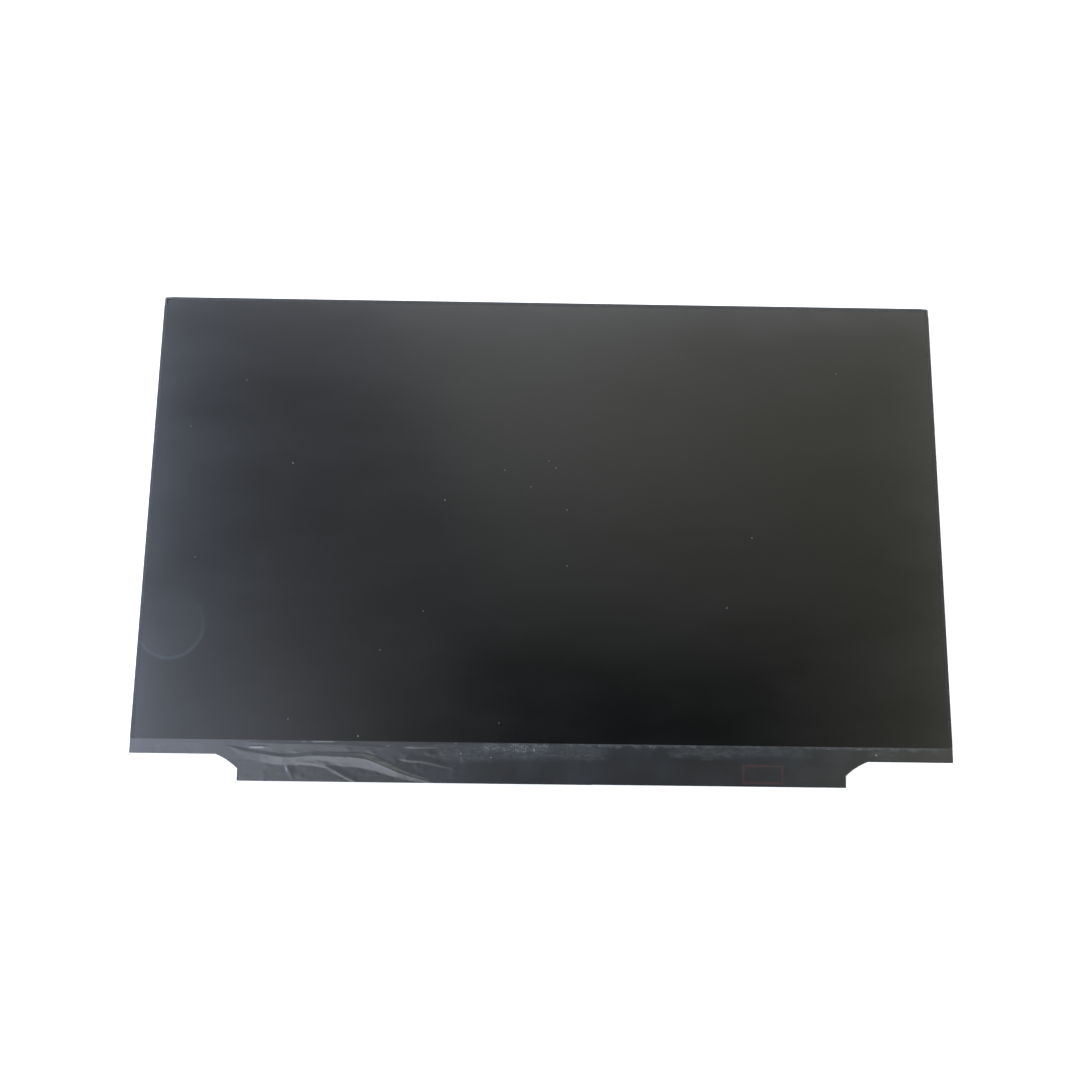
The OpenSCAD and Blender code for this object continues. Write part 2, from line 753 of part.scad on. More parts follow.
capacitor_spots = concat(
  chip_row(6, controller_x, (controller_w / 2 + board_depth / 2) / 2, small_l, small_l / 2),
  chip_row(5, beside(controller_x, controller_w, 1, 5, small_l), -row_y, small_l, small_l / 2),
  chip_row(4, beside(supply_x, supply_w, -1, 4, large_l), row_y, large_l, large_l / 2),
  chip_row(4, beside(supply_x, supply_w, 1, 4, large_l), -row_y, large_l, large_l / 2),
  chip_row(3, lamp_driver_x, -row_y - 0.4, mid_l, mid_l / 2),
  chip_row(7, beside(memory_x, memory_l, -1, 7, mid_l), -row_y, mid_l, mid_l / 2),
  chip_row(8, filter_x, -row_y, mid_l, mid_l / 2),
  chip_row(5, board_x - 19, 0.6 * row_y, small_l, small_l / 2),
  chip_row(4, 12 - board_x, -row_y, small_l, small_l / 2));
resistor_spots = concat(
  chip_row(7, beside(controller_x, controller_w, -1, 7, small_l), row_y, small_l, small_l / 3),
  chip_row(6, beside(controller_x, controller_w, 1, 6, small_l), row_y, small_l, small_l / 3),
  chip_row(5, beside(memory_x, memory_l, -1, 5, small_l), row_y, small_l, small_l / 3),
  chip_row(6, beside(supply_x, supply_w, 1, 6, small_l), row_y, small_l, small_l / 3),
  chip_row(3, beside(lamp_driver_x, lamp_driver_w, -1, 3, small_l), row_y, small_l, small_l / 3),
  chip_row(12, filter_x, row_y, small_l, small_l / 3),
  chip_row(8, board_x - 16, -row_y, small_l, small_l / 3));

// The body of a chip part, between its two soldered ends
module part_middle(spot) {
  l = spot[2];
  on_board(spot[0], spot[1]) translate([-l / 4, -l / 4, solder_t])
    cube([l / 2, l / 2, spot[3] - solder_t]);
}

module part_ends(spot) {
  l = spot[2];
  on_board(spot[0], spot[1]) for (y = [-l / 2, l / 4])
    translate([-l / 4, y, 0]) cube([l / 2, l / 4, spot[3]]);
}

module ceramic_capacitors() {
  color("#a98a63") for (spot = capacitor_spots) part_middle(spot);
}

module capacitor_ends() {
  color("silver") for (spot = capacitor_spots) part_ends(spot);
}

module chip_resistors() {
  color("#1a1a1c") for (spot = resistor_spots) part_middle(spot);
}

// Tinned ends of the resistors, the fuse and the rectifiers
module resistor_ends() {
  color("silver") {
    for (spot = resistor_spots) part_ends(spot);
    on_board(fuse_x, row_y) for (side = [-1, 1])
      translate([side * 0.44 * fuse_l - 0.06 * fuse_l, -fuse_l / 4, 0])
        cube([0.12 * fuse_l, fuse_l / 2, fuse_l / 5]);
    for (x = rectifier_x, side = [-1, 1])
      on_board(x, -row_y) translate([side * (rectifier_l / 2 + 0.3) - 0.3, -0.2 * rectifier_l, 0])
        cube([0.6, 0.4 * rectifier_l, rectifier_h / 3]);
  }
}

module board_fuse() {
  color("white") on_board(fuse_x, row_y)
    translate([-0.38 * fuse_l, -fuse_l / 4, solder_t])
      cube([0.76 * fuse_l, fuse_l / 2, fuse_l / 5 - solder_t]);
}

// Foil that joins the board's ground to the rear cover
module ground_foil() {
  t = tape_t;
  land = board_high - 1.2;
  color("gainsboro") along_x(foil_x - foil_w / 2, foil_x + foil_w / 2)
    polygon([[y_edge + foil_l, z_back], [y_edge + foil_l, z_back - t], [y_edge, z_back - t],
             [land, z_board - t], [land - foil_bond, z_board - t], [land - foil_bond, z_board],
             [land, z_board], [y_edge, z_back]]);
}

// Signal socket: its mouth looks to -Y, its contacts leave at the back

module at_socket() {
  translate([socket_x, board_low + 0.3, z_board]) mirror([0, 0, 1]) children();
}

mouth_floor = 0.25;
groove_w = contact_w + 2 * contact_play;
socket_back = socket_d - 0.8;

module socket_body() {
  body_w = socket_w - 2 * shell_t;
  body_h = socket_h - shell_t;
  color("#e8e2d2") at_socket() difference() {
    translate([-body_w / 2, 0.3, 0]) cube([body_w, socket_d - 0.3, body_h]);
    translate([-body_w / 2 + 1.5, 0, mouth_floor])
      cube([body_w - 3, socket_back, body_h]);
    for (x = spread(contact_count, contact_pitch))
      translate([x - groove_w / 2, 0.5, mouth_floor - 0.13])
        cube([groove_w, socket_d, 0.13 + (socket_h - mouth_floor) / 3]);
  }
}

module shell_slot(x) {
  translate([x - 1.1, 0.7, 0]) difference() {
    cube([2.2, 1.9, socket_h + through]);
    translate([0.35, 0.35, 0]) cube([1.5, 1.9, socket_h + through]);
  }
}

module socket_shell() {
  color("lightsteelblue") at_socket() difference() {
    union() {
      translate([-socket_w / 2, 0, 0]) cube([socket_w, socket_d, socket_h]);
      for (side = [-1, 1])
        translate([side * (socket_w / 2 + 0.35) - 0.45, 1, 0]) cube([0.9, 1.6, shell_t]);
    }
    translate([-socket_w / 2 + shell_t, -through, -through])
      cube([socket_w - 2 * shell_t, socket_d + 2 * through, socket_h - shell_t + through]);
    for (x = spread(4, (socket_w - 6) / 3)) shell_slot(x);
  }
}

module socket_contacts() {
  floor_z = mouth_floor - 0.12;
  color("gold") at_socket() for (x = spread(contact_count, contact_pitch))
    translate([x - contact_w / 2, 0, 0]) rotate([90, 0, 90]) linear_extrude(contact_w)
      polygon([[0.6, floor_z], [socket_d, floor_z], [socket_d + 0.15, 0], [socket_d + 0.7, 0],
               [socket_d + 0.7, 0.1], [socket_d + 0.22, 0.1], [socket_d + 0.08, floor_z + 0.1],
               [1.6, floor_z + 0.1], [1.1, floor_z + 0.22], [0.6, floor_z + 0.1]]);
}

// Black film over the ledge and the board

function film_z(y) =
  let (i = [for (k = [0:len(film_line) - 2])
            if (y <= film_line[k][0] && y >= film_line[k + 1][0]) k][0])
  mix(film_line[i + 1][1], film_line[i][1],
      (y - film_line[i + 1][0]) / (film_line[i][0] - film_line[i + 1][0]));

// Creases of the loose stretch: [start, end, share of the full height], each point given from
// the film's left end and the panel's bottom edge
creases = [[[2, 1.5], [29, -4.4], 0.7], [[29, -4.4], [52, -10.6], 0.8],
           [[22, -0.6], [54, -1.6], 0.9], [[54, -1.6], [80, -9.6], 1],
           [[20, -2.6], [24, -9.6], 0.6], [[68, -1.4], [94, -5.2], 0.5]];

function along_share(p, a, b) =
  max(0, min(1, ((p[0] - a[0]) * (b[0] - a[0]) + (p[1] - a[1]) * (b[1] - a[1])) /
             (pow(b[0] - a[0], 2) + pow(b[1] - a[1], 2))));
function crease_lift(p, c) =
  let (s = along_share(p, c[0], c[1]),
       d = norm(p - [mix(c[0][0], c[1][0], s), mix(c[0][1], c[1][1], s)]))
  d > crease_w ? 0 : c[2] * pow(cos(90 * d / crease_w), 2);
function fade(v, low, high) = max(0, min(1, (v - low) / (high - low)));

// The film lies flat along the glass and at both ends of the loose stretch
function film_lift(x, y) =
  let (p = [x + film_end, y - y_edge])
  crease_h * fade(p[0], 0, 4) * fade(-p[0], -crease_l, 4 - crease_l) * fade(-p[1], -2.6, 0) *
  max([for (c = creases) crease_lift(p, c)]);

// the rows lie closer than the columns, as the creases run mostly along the panel
film_cols = ceil(crease_l / film_grain);
board_rows = ceil(board_reach / (0.65 * film_grain));
film_rows = concat([film_top, upper_glass_low, film_on_chips, (film_on_chips + film_on_board) / 2],
                   [for (k = [0:board_rows]) mix(film_on_board, y_low, k / board_rows)]);

module creased_film() {
  rows = len(film_rows);
  cols = film_cols + 1;
  base = rows * cols;
  function at(c, r, side) = side * base + c * rows + r;
  points = [for (side = [0, 1], c = [0:film_cols], y = film_rows)
            let (x = mix(-film_end, crease_l - film_end, c / film_cols))
            [x, y, film_z(y) + film_lift(x, y) + side * film_t]];
  faces = concat(
    [for (c = [0:film_cols - 1], r = [0:rows - 2])
     each [[at(c, r, 1), at(c + 1, r, 1), at(c + 1, r + 1, 1)],
           [at(c, r, 1), at(c + 1, r + 1, 1), at(c, r + 1, 1)],
           [at(c, r, 0), at(c + 1, r + 1, 0), at(c + 1, r, 0)],
           [at(c, r, 0), at(c, r + 1, 0), at(c + 1, r + 1, 0)]]],
    [for (c = [0:film_cols - 1])
     each [[at(c, 0, 0), at(c + 1, 0, 0), at(c + 1, 0, 1), at(c, 0, 1)],
           [at(c + 1, rows - 1, 0), at(c, rows - 1, 0), at(c, rows - 1, 1), at(c + 1, rows - 1, 1)]]],
    [for (r = [0:rows - 2])
     each [[at(0, r + 1, 0), at(0, r, 0), at(0, r, 1), at(0, r + 1, 1)],
           [at(film_cols, r, 0), at(film_cols, r + 1, 0), at(film_cols, r + 1, 1), at(film_cols, r, 1)]]]);
  polyhedron(points, faces, convexity = 4);
}

module flat_film(x0, x1, y0) {
  under = [for (p = film_line) if (p[0] > y0) p];
  line = concat(under, [[y0, film_z(y0)]]);
  over = [for (k = [len(line) - 1:-1:0]) line[k] + [0, film_t]];
  along_x(x0, x1) polygon(concat(line, over));
}

module cover_film() {
  color("#26272c") {
    creased_film();
    flat_film(crease_l - film_end, film_step_x, y_low);
    flat_film(film_step_x, film_end, y_low + film_step);
    flat_film(-cover_x, -film_end, y_edge);
    flat_film(film_end, cover_x, y_edge);
    both_sides() translate([0, 0, z_film]) linear_extrude(film_t) wing_outline(film_end, 0);
  }
}

// Edge tapes, wrapped from the rim's front round to the rear cover

module tape_profile() {
  h = z_rim - z_back;
  translate([0, -tape_t]) square([tape_t, h + 2 * tape_t]);
  translate([0, h]) square([tape_front, tape_t]);
  translate([0, -tape_t]) square([tape_back, tape_t]);
}

module tape_run(l) {
  translate([0, 0, z_back]) rotate([90, 0, 0]) translate([0, 0, -l / 2]) linear_extrude(l)
    tape_profile();
}

side_tape_low = film_top + tape_end_gap;
side_tape_high = y_top - tape_back - tape_end_gap;

module side_tape(side) {
  color("#151618") translate([side * panel_w / 2, (side_tape_low + side_tape_high) / 2, 0])
    rotate([0, 0, side < 0 ? 0 : 180]) tape_run(side_tape_high - side_tape_low);
}

module top_edge_tape() {
  color("#151618") translate([0, y_top, 0]) rotate([0, 0, -90]) tape_run(panel_w - 2 * corner_relief);
}

rear_cover();
mould_frame();
reflector_sheet();
light_guide();
lower_diffuser();
lower_prism_sheet();
upper_prism_sheet();
lamp_strip();
lamps();
cell_adhesive_ring();
rear_polariser();
lower_glass();
upper_glass();
front_polariser();
for (i = [1:driver_count]) {
  driver_chip(driver_x[i - 1]);
  bridge_flex(driver_x[i - 1]);
}
control_board();
timing_controller();
supply_chip();
lamp_driver_chip();
memory_chip();
chip_leads();
for (i = [1:3])
  power_coil(coil_x + (i - 2) * coil_pitch);
for (i = [1:2])
  rectifier(rectifier_x[i - 1]);
board_fuse();
ceramic_capacitors();
capacitor_ends();
chip_resistors();
resistor_ends();
socket_body();
socket_shell();
socket_contacts();
ground_foil();
cover_film();
side_tape(-1);  // left_edge_tape
side_tape(1);  // right_edge_tape
top_edge_tape();
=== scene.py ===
import math
import random

import bmesh
import bpy
from mathutils import Matrix, Vector, noise


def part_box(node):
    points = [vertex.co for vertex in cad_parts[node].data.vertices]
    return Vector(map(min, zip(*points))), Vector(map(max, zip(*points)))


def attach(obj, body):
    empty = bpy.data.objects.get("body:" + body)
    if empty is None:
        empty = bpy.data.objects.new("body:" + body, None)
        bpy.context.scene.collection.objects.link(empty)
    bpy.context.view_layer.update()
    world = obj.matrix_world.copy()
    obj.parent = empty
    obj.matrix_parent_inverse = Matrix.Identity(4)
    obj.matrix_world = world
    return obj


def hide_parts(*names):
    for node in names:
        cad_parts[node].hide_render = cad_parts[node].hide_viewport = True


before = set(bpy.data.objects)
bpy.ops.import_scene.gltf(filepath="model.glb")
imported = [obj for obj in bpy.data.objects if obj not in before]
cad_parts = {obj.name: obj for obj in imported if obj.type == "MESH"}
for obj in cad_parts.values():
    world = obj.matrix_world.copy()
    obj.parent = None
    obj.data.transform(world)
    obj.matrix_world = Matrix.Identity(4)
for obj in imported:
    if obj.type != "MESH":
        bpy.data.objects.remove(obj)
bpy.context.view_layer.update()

# Camera. It looks down on the panel, which lies on its back, from a little past
# the middle of the panel's lower edge.
scene = bpy.context.scene
scene.view_settings.view_transform = "Standard"
camera = bpy.data.objects.new("camera", bpy.data.cameras.new("camera"))
camera.data.sensor_width = 36
camera.data.lens = 37
camera.data.clip_start = 0.01
camera.location = (-0.0063, -0.0945, 0.4835)
camera.rotation_euler = [math.radians(turn) for turn in (10.79, -0.63, 0.71)]
scene.collection.objects.link(camera)
scene.camera = camera


# Floor. A plain white studio floor, matt, on which the panel lies. It shows white
# to the eye and in reflections, and keeps the panel's shadow.
def linear(text):
    """The linear colour of an sRGB hex value."""
    parts = [int(text[i:i + 2], 16) / 255 for i in (1, 3, 5)]
    return [c / 12.92 if c <= 0.04045 else ((c + 0.055) / 1.055) ** 2.4 for c in parts] + [1]


def add(tree, kind, inputs, **settings):
    """Adds a node. An input takes a value, or a node or an output that is linked to it."""
    node = tree.nodes.new("ShaderNode" + kind)
    for name, value in settings.items():
        setattr(node, name, value)
    for place, value in inputs.items():
        if isinstance(value, bpy.types.Node):
            value = value.outputs[0]
        if isinstance(value, bpy.types.NodeSocket):
            tree.links.new(value, node.inputs[place])
        else:
            node.inputs[place].default_value = value
    return node


def material(name):
    """An empty material, its node tree, and the coordinates that its patterns use."""
    made = bpy.data.materials.new(name)
    made.use_nodes = True
    made.node_tree.nodes.clear()
    return made, made.node_tree, add(made.node_tree, "TexCoord", {}).outputs["Object"]


def as_object(name, shape, finish):
    """A finished bmesh as an object at the origin."""
    mesh = bpy.data.meshes.new(name)
    shape.to_mesh(mesh)
    shape.free()
    mesh.materials.append(finish)
    made = bpy.data.objects.new(name, mesh)
    scene.collection.objects.link(made)
    return made


floor_paint, tree, _ = material("white studio floor")
floor_glow, floor_half = 0.3, 6
ray = add(tree, "LightPath", {})
seen = add(tree, "Math", {0: ray.outputs["Is Camera Ray"], 1: ray.outputs["Is Glossy Ray"]},
           operation="MAXIMUM")
seen = add(tree, "Math", {0: seen, 1: ray.outputs["Is Transmission Ray"]}, operation="MAXIMUM")
glow = add(tree, "Math", {0: seen, 1: floor_glow}, operation="MULTIPLY")
matt = add(tree, "BsdfDiffuse", {"Color": linear("#f2f2f1")})
white = add(tree, "Emission", {"Color": linear("#ffffff"), "Strength": glow})
add(tree, "OutputMaterial", {"Surface": add(tree, "AddShader", {0: matt, 1: white})})
shape = bmesh.new()
bmesh.ops.create_grid(shape, x_segments=1, y_segments=1, size=floor_half)
floor = as_object("floor", shape, floor_paint)

# Light. Three large soft boxes stand round the panel, cool at the left and the top and
# warmer at the right. The pale room over it is lighter in soft patches, and a dark card
# hangs over the panel's lower middle. The screen mirrors them softly.
room = bpy.data.worlds.new("studio room")
scene.world = room
room.use_nodes = True
tree = room.node_tree
tree.nodes.clear()
way = add(tree, "SeparateXYZ", {0: add(tree, "TexCoord", {}).outputs["Generated"]})
# how far a way into the room runs across and away for each metre that it rises
up = add(tree, "Math", {0: way.outputs[2], 1: 0.05}, operation="MAXIMUM")
across = add(tree, "Math", {0: way.outputs[0], 1: up}, operation="DIVIDE")
away = add(tree, "Math", {0: way.outputs[1], 1: up}, operation="DIVIDE")
slant = add(tree, "Math", {0: away, 1: 0.46, 2: across}, operation="MULTIPLY_ADD")
level = 0.5
# each patch: how much lighter it is, then from where to where it grows, across or on the
# slant first, and then away
for lighter, side, side_from, side_to, away_from, away_to in (
        (2.6, across, -0.08, -0.42, 0.2, -0.06),
        (2.8, across, 0.12, -0.2, -0.05, -0.26),
        (-3.8, across, -0.25, -0.32, -0.03, -0.2),
        (0.45, across, -0.16, -0.42, -0.02, 0.12),
        (0.05, across, -0.05, -0.25, -0.1, 0.1),
        (0.2, across, 0.6, 0.0, 0.1, 0.42),
        (1.05, slant, 0.01, 0.08, 0.1, 0.4),
        (-0.55, slant, 0.08, 0.5, 0.1, 0.4)):
    broad = add(tree, "MapRange", {0: side, 1: side_from, 2: side_to},
                interpolation_type="SMOOTHSTEP")
    deep = add(tree, "MapRange", {0: away, 1: away_from, 2: away_to, 4: lighter},
               interpolation_type="SMOOTHSTEP")
    level = add(tree, "Math", {0: broad, 1: deep, 2: level}, operation="MULTIPLY_ADD")
# the card's left, right and far edge, each with where it starts and where it is full
card = 1.0
for side, start, end in ((across, -0.15, 0.0), (across, 0.33, 0.2), (away, 0.13, 0.06)):
    edge = add(tree, "MapRange", {0: side, 1: start, 2: end}, interpolation_type="SMOOTHSTEP")
    card = add(tree, "Math", {0: edge, 1: card}, operation="MULTIPLY")
bare = add(tree, "Math", {0: 1.0, 1: card}, operation="SUBTRACT")
level = add(tree, "Math", {0: level, 1: bare}, operation="MULTIPLY")
left = add(tree, "MapRange", {0: across, 1: -0.05, 2: -0.4})
right = add(tree, "MapRange", {0: across, 1: 0.0, 2: 0.4})
tint = add(tree, "Mix", {0: left, 6: (1.0, 1.0, 0.97, 1), 7: (0.82, 0.9, 1.1, 1)},
           data_type="RGBA")
tint = add(tree, "Mix", {0: right, 6: tint.outputs[2], 7: (1.0, 1.01, 0.78, 1)}, data_type="RGBA")
# towards the horizon the room is plain white
high = add(tree, "MapRange", {0: way.outputs[2], 1: 0.3, 2: 0.7}, interpolation_type="SMOOTHSTEP")
level = add(tree, "Mix", {0: high, 2: 1.0, 3: level})
tint = add(tree, "Mix", {0: high, 6: (1.0, 1.0, 1.0, 1), 7: tint.outputs[2]}, data_type="RGBA")
back = add(tree, "Background", {"Color": tint.outputs[2], "Strength": level})
add(tree, "OutputWorld", {"Surface": back})

# name, place, size, radiance and colour of each box; an area light shines with a quarter
# of its energy from each square metre
for name, where, size, radiance, colour in (
        ("left soft box", (-1.02, 0.0, 1.5), (0.48, 1.6), 8.0, "#d9e4ff"),
        ("top soft box", (0.0, 1.03, 1.5), (2.0, 0.46), 4.2, "#eef3ff"),
        ("right soft box", (1.01, 0.1, 1.5), (0.42, 1.5), 1.9, "#fffdf4")):
    lamp = bpy.data.lights.new(name, "AREA")
    lamp.shape = "RECTANGLE"
    lamp.size, lamp.size_y = size
    lamp.color = linear(colour)[:3]
    lamp.energy = radiance * 4 * size[0] * size[1]
    lit = bpy.data.objects.new(name, lamp)
    lit.location = where
    lit.visible_camera = False
    scene.collection.objects.link(lit)


# Rear cover. Pressed and folded from 0.3 mm aluminium sheet, left with its satin
# mill finish. Its walls rise outside the frame, and hooks of the frame hold it.
# A pattern's scale is how many of its grains go to the metre: 9 / mm is 9 to the millimetre.
mm = 0.001


def put_on(finish, *names):
    """Gives CAD nodes their material."""
    for name in names:
        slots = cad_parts[name].data.materials
        slots.clear()
        slots.append(finish)


# Rolled aluminium: soft streaks along the rolling, and dull spots from handling.
mill_aluminium, tree, place = material("mill finish aluminium sheet")
streaked = add(tree, "Mapping", {"Vector": place, "Scale": (40, 2.5 / mm, 2.5 / mm)})
streaks = add(tree, "TexNoise", {"Vector": streaked, "Scale": 1, "Detail": 3})
spots = add(tree, "TexNoise", {"Vector": place, "Scale": 45, "Detail": 4})
tone = add(tree, "Mix", {0: spots, 6: linear("#b4b6b8"), 7: linear("#c6c8ca")}, data_type="RGBA")
dull = add(tree, "MapRange", {0: streaks, 1: 0.3, 2: 0.7, 3: 0.3, 4: 0.44})
fine = add(tree, "Bump", {"Height": streaks, "Strength": 0.15, "Distance": 0.02 * mm})
add(tree, "OutputMaterial", {"Surface": add(tree, "BsdfPrincipled", {
    "Base Color": tone.outputs[2], "Metallic": 1.0, "Roughness": dull.outputs[0],
    "Normal": fine})})
put_on(mill_aluminium, "rear_cover")

# Moulded frame. Black glass-filled polycarbonate, moulded round the sheets, with a lip
# that carries the glass, a rim round it and two wings beside the board.
# Spark-eroded mould texture: a fine matt grain that takes off the gloss.
moulded_black, tree, place = material("black moulded polycarbonate")
grain = add(tree, "TexNoise", {"Vector": place, "Scale": 9 / mm, "Detail": 2})
flow = add(tree, "TexNoise", {"Vector": place, "Scale": 60, "Detail": 3})
tone = add(tree, "Mix", {0: flow, 6: linear("#222325"), 7: linear("#2c2d2f")}, data_type="RGBA")
fine = add(tree, "Bump", {"Height": grain, "Strength": 0.3, "Distance": 0.03 * mm})
dull = add(tree, "MapRange", {0: flow, 1: 0.3, 2: 0.7, 3: 0.42, 4: 0.55})
add(tree, "OutputMaterial", {"Surface": add(tree, "BsdfPrincipled", {
    "Base Color": tone.outputs[2], "Roughness": dull.outputs[0], "IOR": 1.585, "Normal": fine})})
put_on(moulded_black, "mould_frame")

# Reflector sheet. White foamed polyester, 0.19 mm, laid loose in the frame.
# Its tiny voids scatter all light, so it looks like matt paper with a faint mottle.
foamed_white, tree, place = material("white foamed polyester film")
voids = add(tree, "TexNoise", {"Vector": place, "Scale": 1.5 / mm, "Detail": 3})
tone = add(tree, "Mix", {0: voids, 6: linear("#e9eaea"), 7: linear("#f5f6f6")}, data_type="RGBA")
add(tree, "OutputMaterial", {"Surface": add(tree, "BsdfPrincipled", {
    "Base Color": tone.outputs[2], "Roughness": 0.55, "IOR": 1.58})})
put_on(foamed_white, "reflector_sheet")

# Light guide. Clear acrylic, cast and cut, with small dots moulded in its rear face
# that grow closer away from the lamps. Its ears keep it in the frame's pockets.
# The dots make the clear sheet look faintly misty. They are 0.15 mm in reality and drawn
# 0.6 mm apart so that they show.
clear_acrylic, tree, place = material("clear acrylic with light dots")
dots = add(tree, "TexVoronoi", {"Vector": place, "Scale": 1.6 / mm, "Randomness": 0.35},
           voronoi_dimensions="2D")
dotted = add(tree, "MapRange", {0: dots.outputs["Distance"], 1: 0.2, 2: 0.28, 3: 1, 4: 0},
             interpolation_type="SMOOTHSTEP")
tone = add(tree, "Mix", {0: dotted, 6: linear("#e6f1f2"), 7: linear("#f9fbfb")}, data_type="RGBA")
dull = add(tree, "MapRange", {0: dotted, 1: 0, 2: 1, 3: 0.04, 4: 0.5})
add(tree, "OutputMaterial", {"Surface": add(tree, "BsdfPrincipled", {
    "Base Color": tone.outputs[2], "Roughness": dull.outputs[0], "IOR": 1.49,
    "Transmission Weight": 0.85})})
put_on(clear_acrylic, "light_guide")

# Lower diffuser. Polyester film with a coat of fine beads, laid loose on the light
# guide. The beads scatter light, so it looks frosted.
frosted, tree, place = material("beaded diffuser film")
beads = add(tree, "TexVoronoi", {"Vector": place, "Scale": 8 / mm}, voronoi_dimensions="2D")
fine = add(tree, "Bump", {"Height": beads.outputs["Distance"], "Strength": 0.3,
                          "Distance": 0.03 * mm})
tone = add(tree, "Mix", {0: beads.outputs["Distance"], 6: linear("#eef0f1"), 7: linear("#dfe2e3")},
           data_type="RGBA")
add(tree, "OutputMaterial", {"Surface": add(tree, "BsdfPrincipled", {
    "Base Color": tone.outputs[2], "Roughness": 0.6, "IOR": 1.58, "Normal": fine})})
put_on(frosted, "lower_diffuser")


# Prism sheets. Two films with fine ribs, laid crosswise, that turn the light upright.
# The ribs give them a silvery sheen. They are 0.05 mm apart in reality and drawn 0.4 mm
# apart so that they show.
def wave_scale(apart):
    """Scale of a wave texture whose bands lie so many millimetres apart."""
    return int(math.pi / 10 / (apart * mm))


for name, turn in (("lower_prism_sheet", 0), ("upper_prism_sheet", 90)):
    ribbed, tree, place = material(f"prism film, ribs at {turn} degrees")
    turned = add(tree, "Mapping", {"Vector": place, "Rotation": (0, 0, math.radians(turn))})
    ribs = add(tree, "TexWave", {"Vector": turned, "Scale": wave_scale(0.4)}, wave_profile="TRI",
               bands_direction="Y")
    fine = add(tree, "Bump", {"Height": ribs, "Strength": 0.5, "Distance": 0.1 * mm})
    tone = add(tree, "Mix", {0: ribs, 6: linear("#c7cbcf"), 7: linear("#e3e6e8")}, data_type="RGBA")
    add(tree, "OutputMaterial", {"Surface": add(tree, "BsdfPrincipled", {
        "Base Color": tone.outputs[2], "Roughness": 0.22, "IOR": 1.58, "Normal": fine})})
    put_on(ribbed, name)

# Lamp strip. A printed strip of amber polyimide over copper tracks. It lies behind the
# light guide's lower edge, and its tail bends up to the board and is soldered there.
# The tracks under the cover layer show as paler bands, 0.6 mm apart, and turn into the tail.
amber_strip, tree, place = material("amber polyimide strip")
bands = add(tree, "TexWave", {"Vector": place, "Scale": wave_scale(0.6)}, bands_direction="Y")
turned = add(tree, "TexWave", {"Vector": place, "Scale": wave_scale(0.6)}, bands_direction="X")
spot = add(tree, "SeparateXYZ", {0: place})
tail = add(tree, "Math", {0: spot.outputs[1], 1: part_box("rear_cover")[0].y},
           operation="LESS_THAN")
bands = add(tree, "Mix", {0: tail, 2: bands, 3: turned})
tracks = add(tree, "MapRange", {0: bands, 1: 0.45, 2: 0.6}, interpolation_type="SMOOTHSTEP")
tone = add(tree, "Mix", {0: tracks, 6: linear("#8a4f1c"), 7: linear("#c98a3c")}, data_type="RGBA")
fine = add(tree, "Bump", {"Height": tracks, "Strength": 0.3, "Distance": 0.03 * mm})
add(tree, "OutputMaterial", {"Surface": add(tree, "BsdfPrincipled", {
    "Base Color": tone.outputs[2], "Roughness": 0.32, "IOR": 1.7, "Normal": fine})})
put_on(amber_strip, "lamp_strip")

# Lamps. A row of white moulded bodies soldered to the strip, each with a hollow full of
# yellow phosphor that faces the light guide.
# A COMPARE node finds the floor of the hollow, which lies 0.3 mm deep.
phosphor_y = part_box("lamps")[1].y - 0.3 * mm
lamp_plastic, tree, place = material("white lamp body with yellow phosphor")
spot = add(tree, "SeparateXYZ", {0: place})
inner = add(tree, "Math", {0: spot.outputs[1], 1: phosphor_y, 2: 0.02 * mm}, operation="COMPARE")
grains = add(tree, "TexNoise", {"Vector": place, "Scale": 12 / mm})
gold = add(tree, "Mix", {0: grains, 6: linear("#e2c436"), 7: linear("#efd95e")}, data_type="RGBA")
tone = add(tree, "Mix", {0: inner, 6: linear("#f1f0ea"), 7: gold.outputs[2]}, data_type="RGBA")
add(tree, "OutputMaterial", {"Surface": add(tree, "BsdfPrincipled", {
    "Base Color": tone.outputs[2], "Roughness": 0.5, "IOR": 1.55})})
put_on(lamp_plastic, "lamps")

# Adhesive ring. A thin black foam tape, sticky on both faces, between lip and glass.
# Its open pores make it dull.
foam_tape, tree, place = material("black foam tape")
pores = add(tree, "TexVoronoi", {"Vector": place, "Scale": 5 / mm})
fine = add(tree, "Bump", {"Height": pores.outputs["Distance"], "Strength": 0.5,
                          "Distance": 0.05 * mm})
tone = add(tree, "Mix", {0: pores.outputs["Distance"], 6: linear("#1b1b1c"), 7: linear("#252526")},
           data_type="RGBA")
add(tree, "OutputMaterial", {"Surface": add(tree, "BsdfPrincipled", {
    "Base Color": tone.outputs[2], "Roughness": 0.8, "Normal": fine})})
put_on(foam_tape, "cell_adhesive_ring")

# Glass cell. Two glasses of 0.4 mm, ground at the edges. The lower one carries the
# circuit, whose lines fan out over the ledge, and the upper one the dark colour filter.
# Under the lower glass lies a smooth grey polariser.
# Polished glass, on whose ledge fine metal lines give a grey shimmer. They are drawn
# 0.5 mm apart so that they show.
ledge_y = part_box("upper_glass")[0].y
circuit_glass, tree, place = material("thin glass with a fine circuit")
spot = add(tree, "SeparateXYZ", {0: place})
lines = add(tree, "TexWave", {"Vector": place, "Scale": wave_scale(0.5), "Distortion": 0.4},
            bands_direction="X")
drawn = add(tree, "MapRange", {0: lines, 1: 0.5, 2: 0.65}, interpolation_type="SMOOTHSTEP")
ledge = add(tree, "Math", {0: spot.outputs[1], 1: ledge_y}, operation="LESS_THAN")
drawn = add(tree, "Math", {0: drawn, 1: ledge}, operation="MULTIPLY")
tone = add(tree, "Mix", {0: drawn, 6: linear("#6a7876"), 7: linear("#a4abac")}, data_type="RGBA")
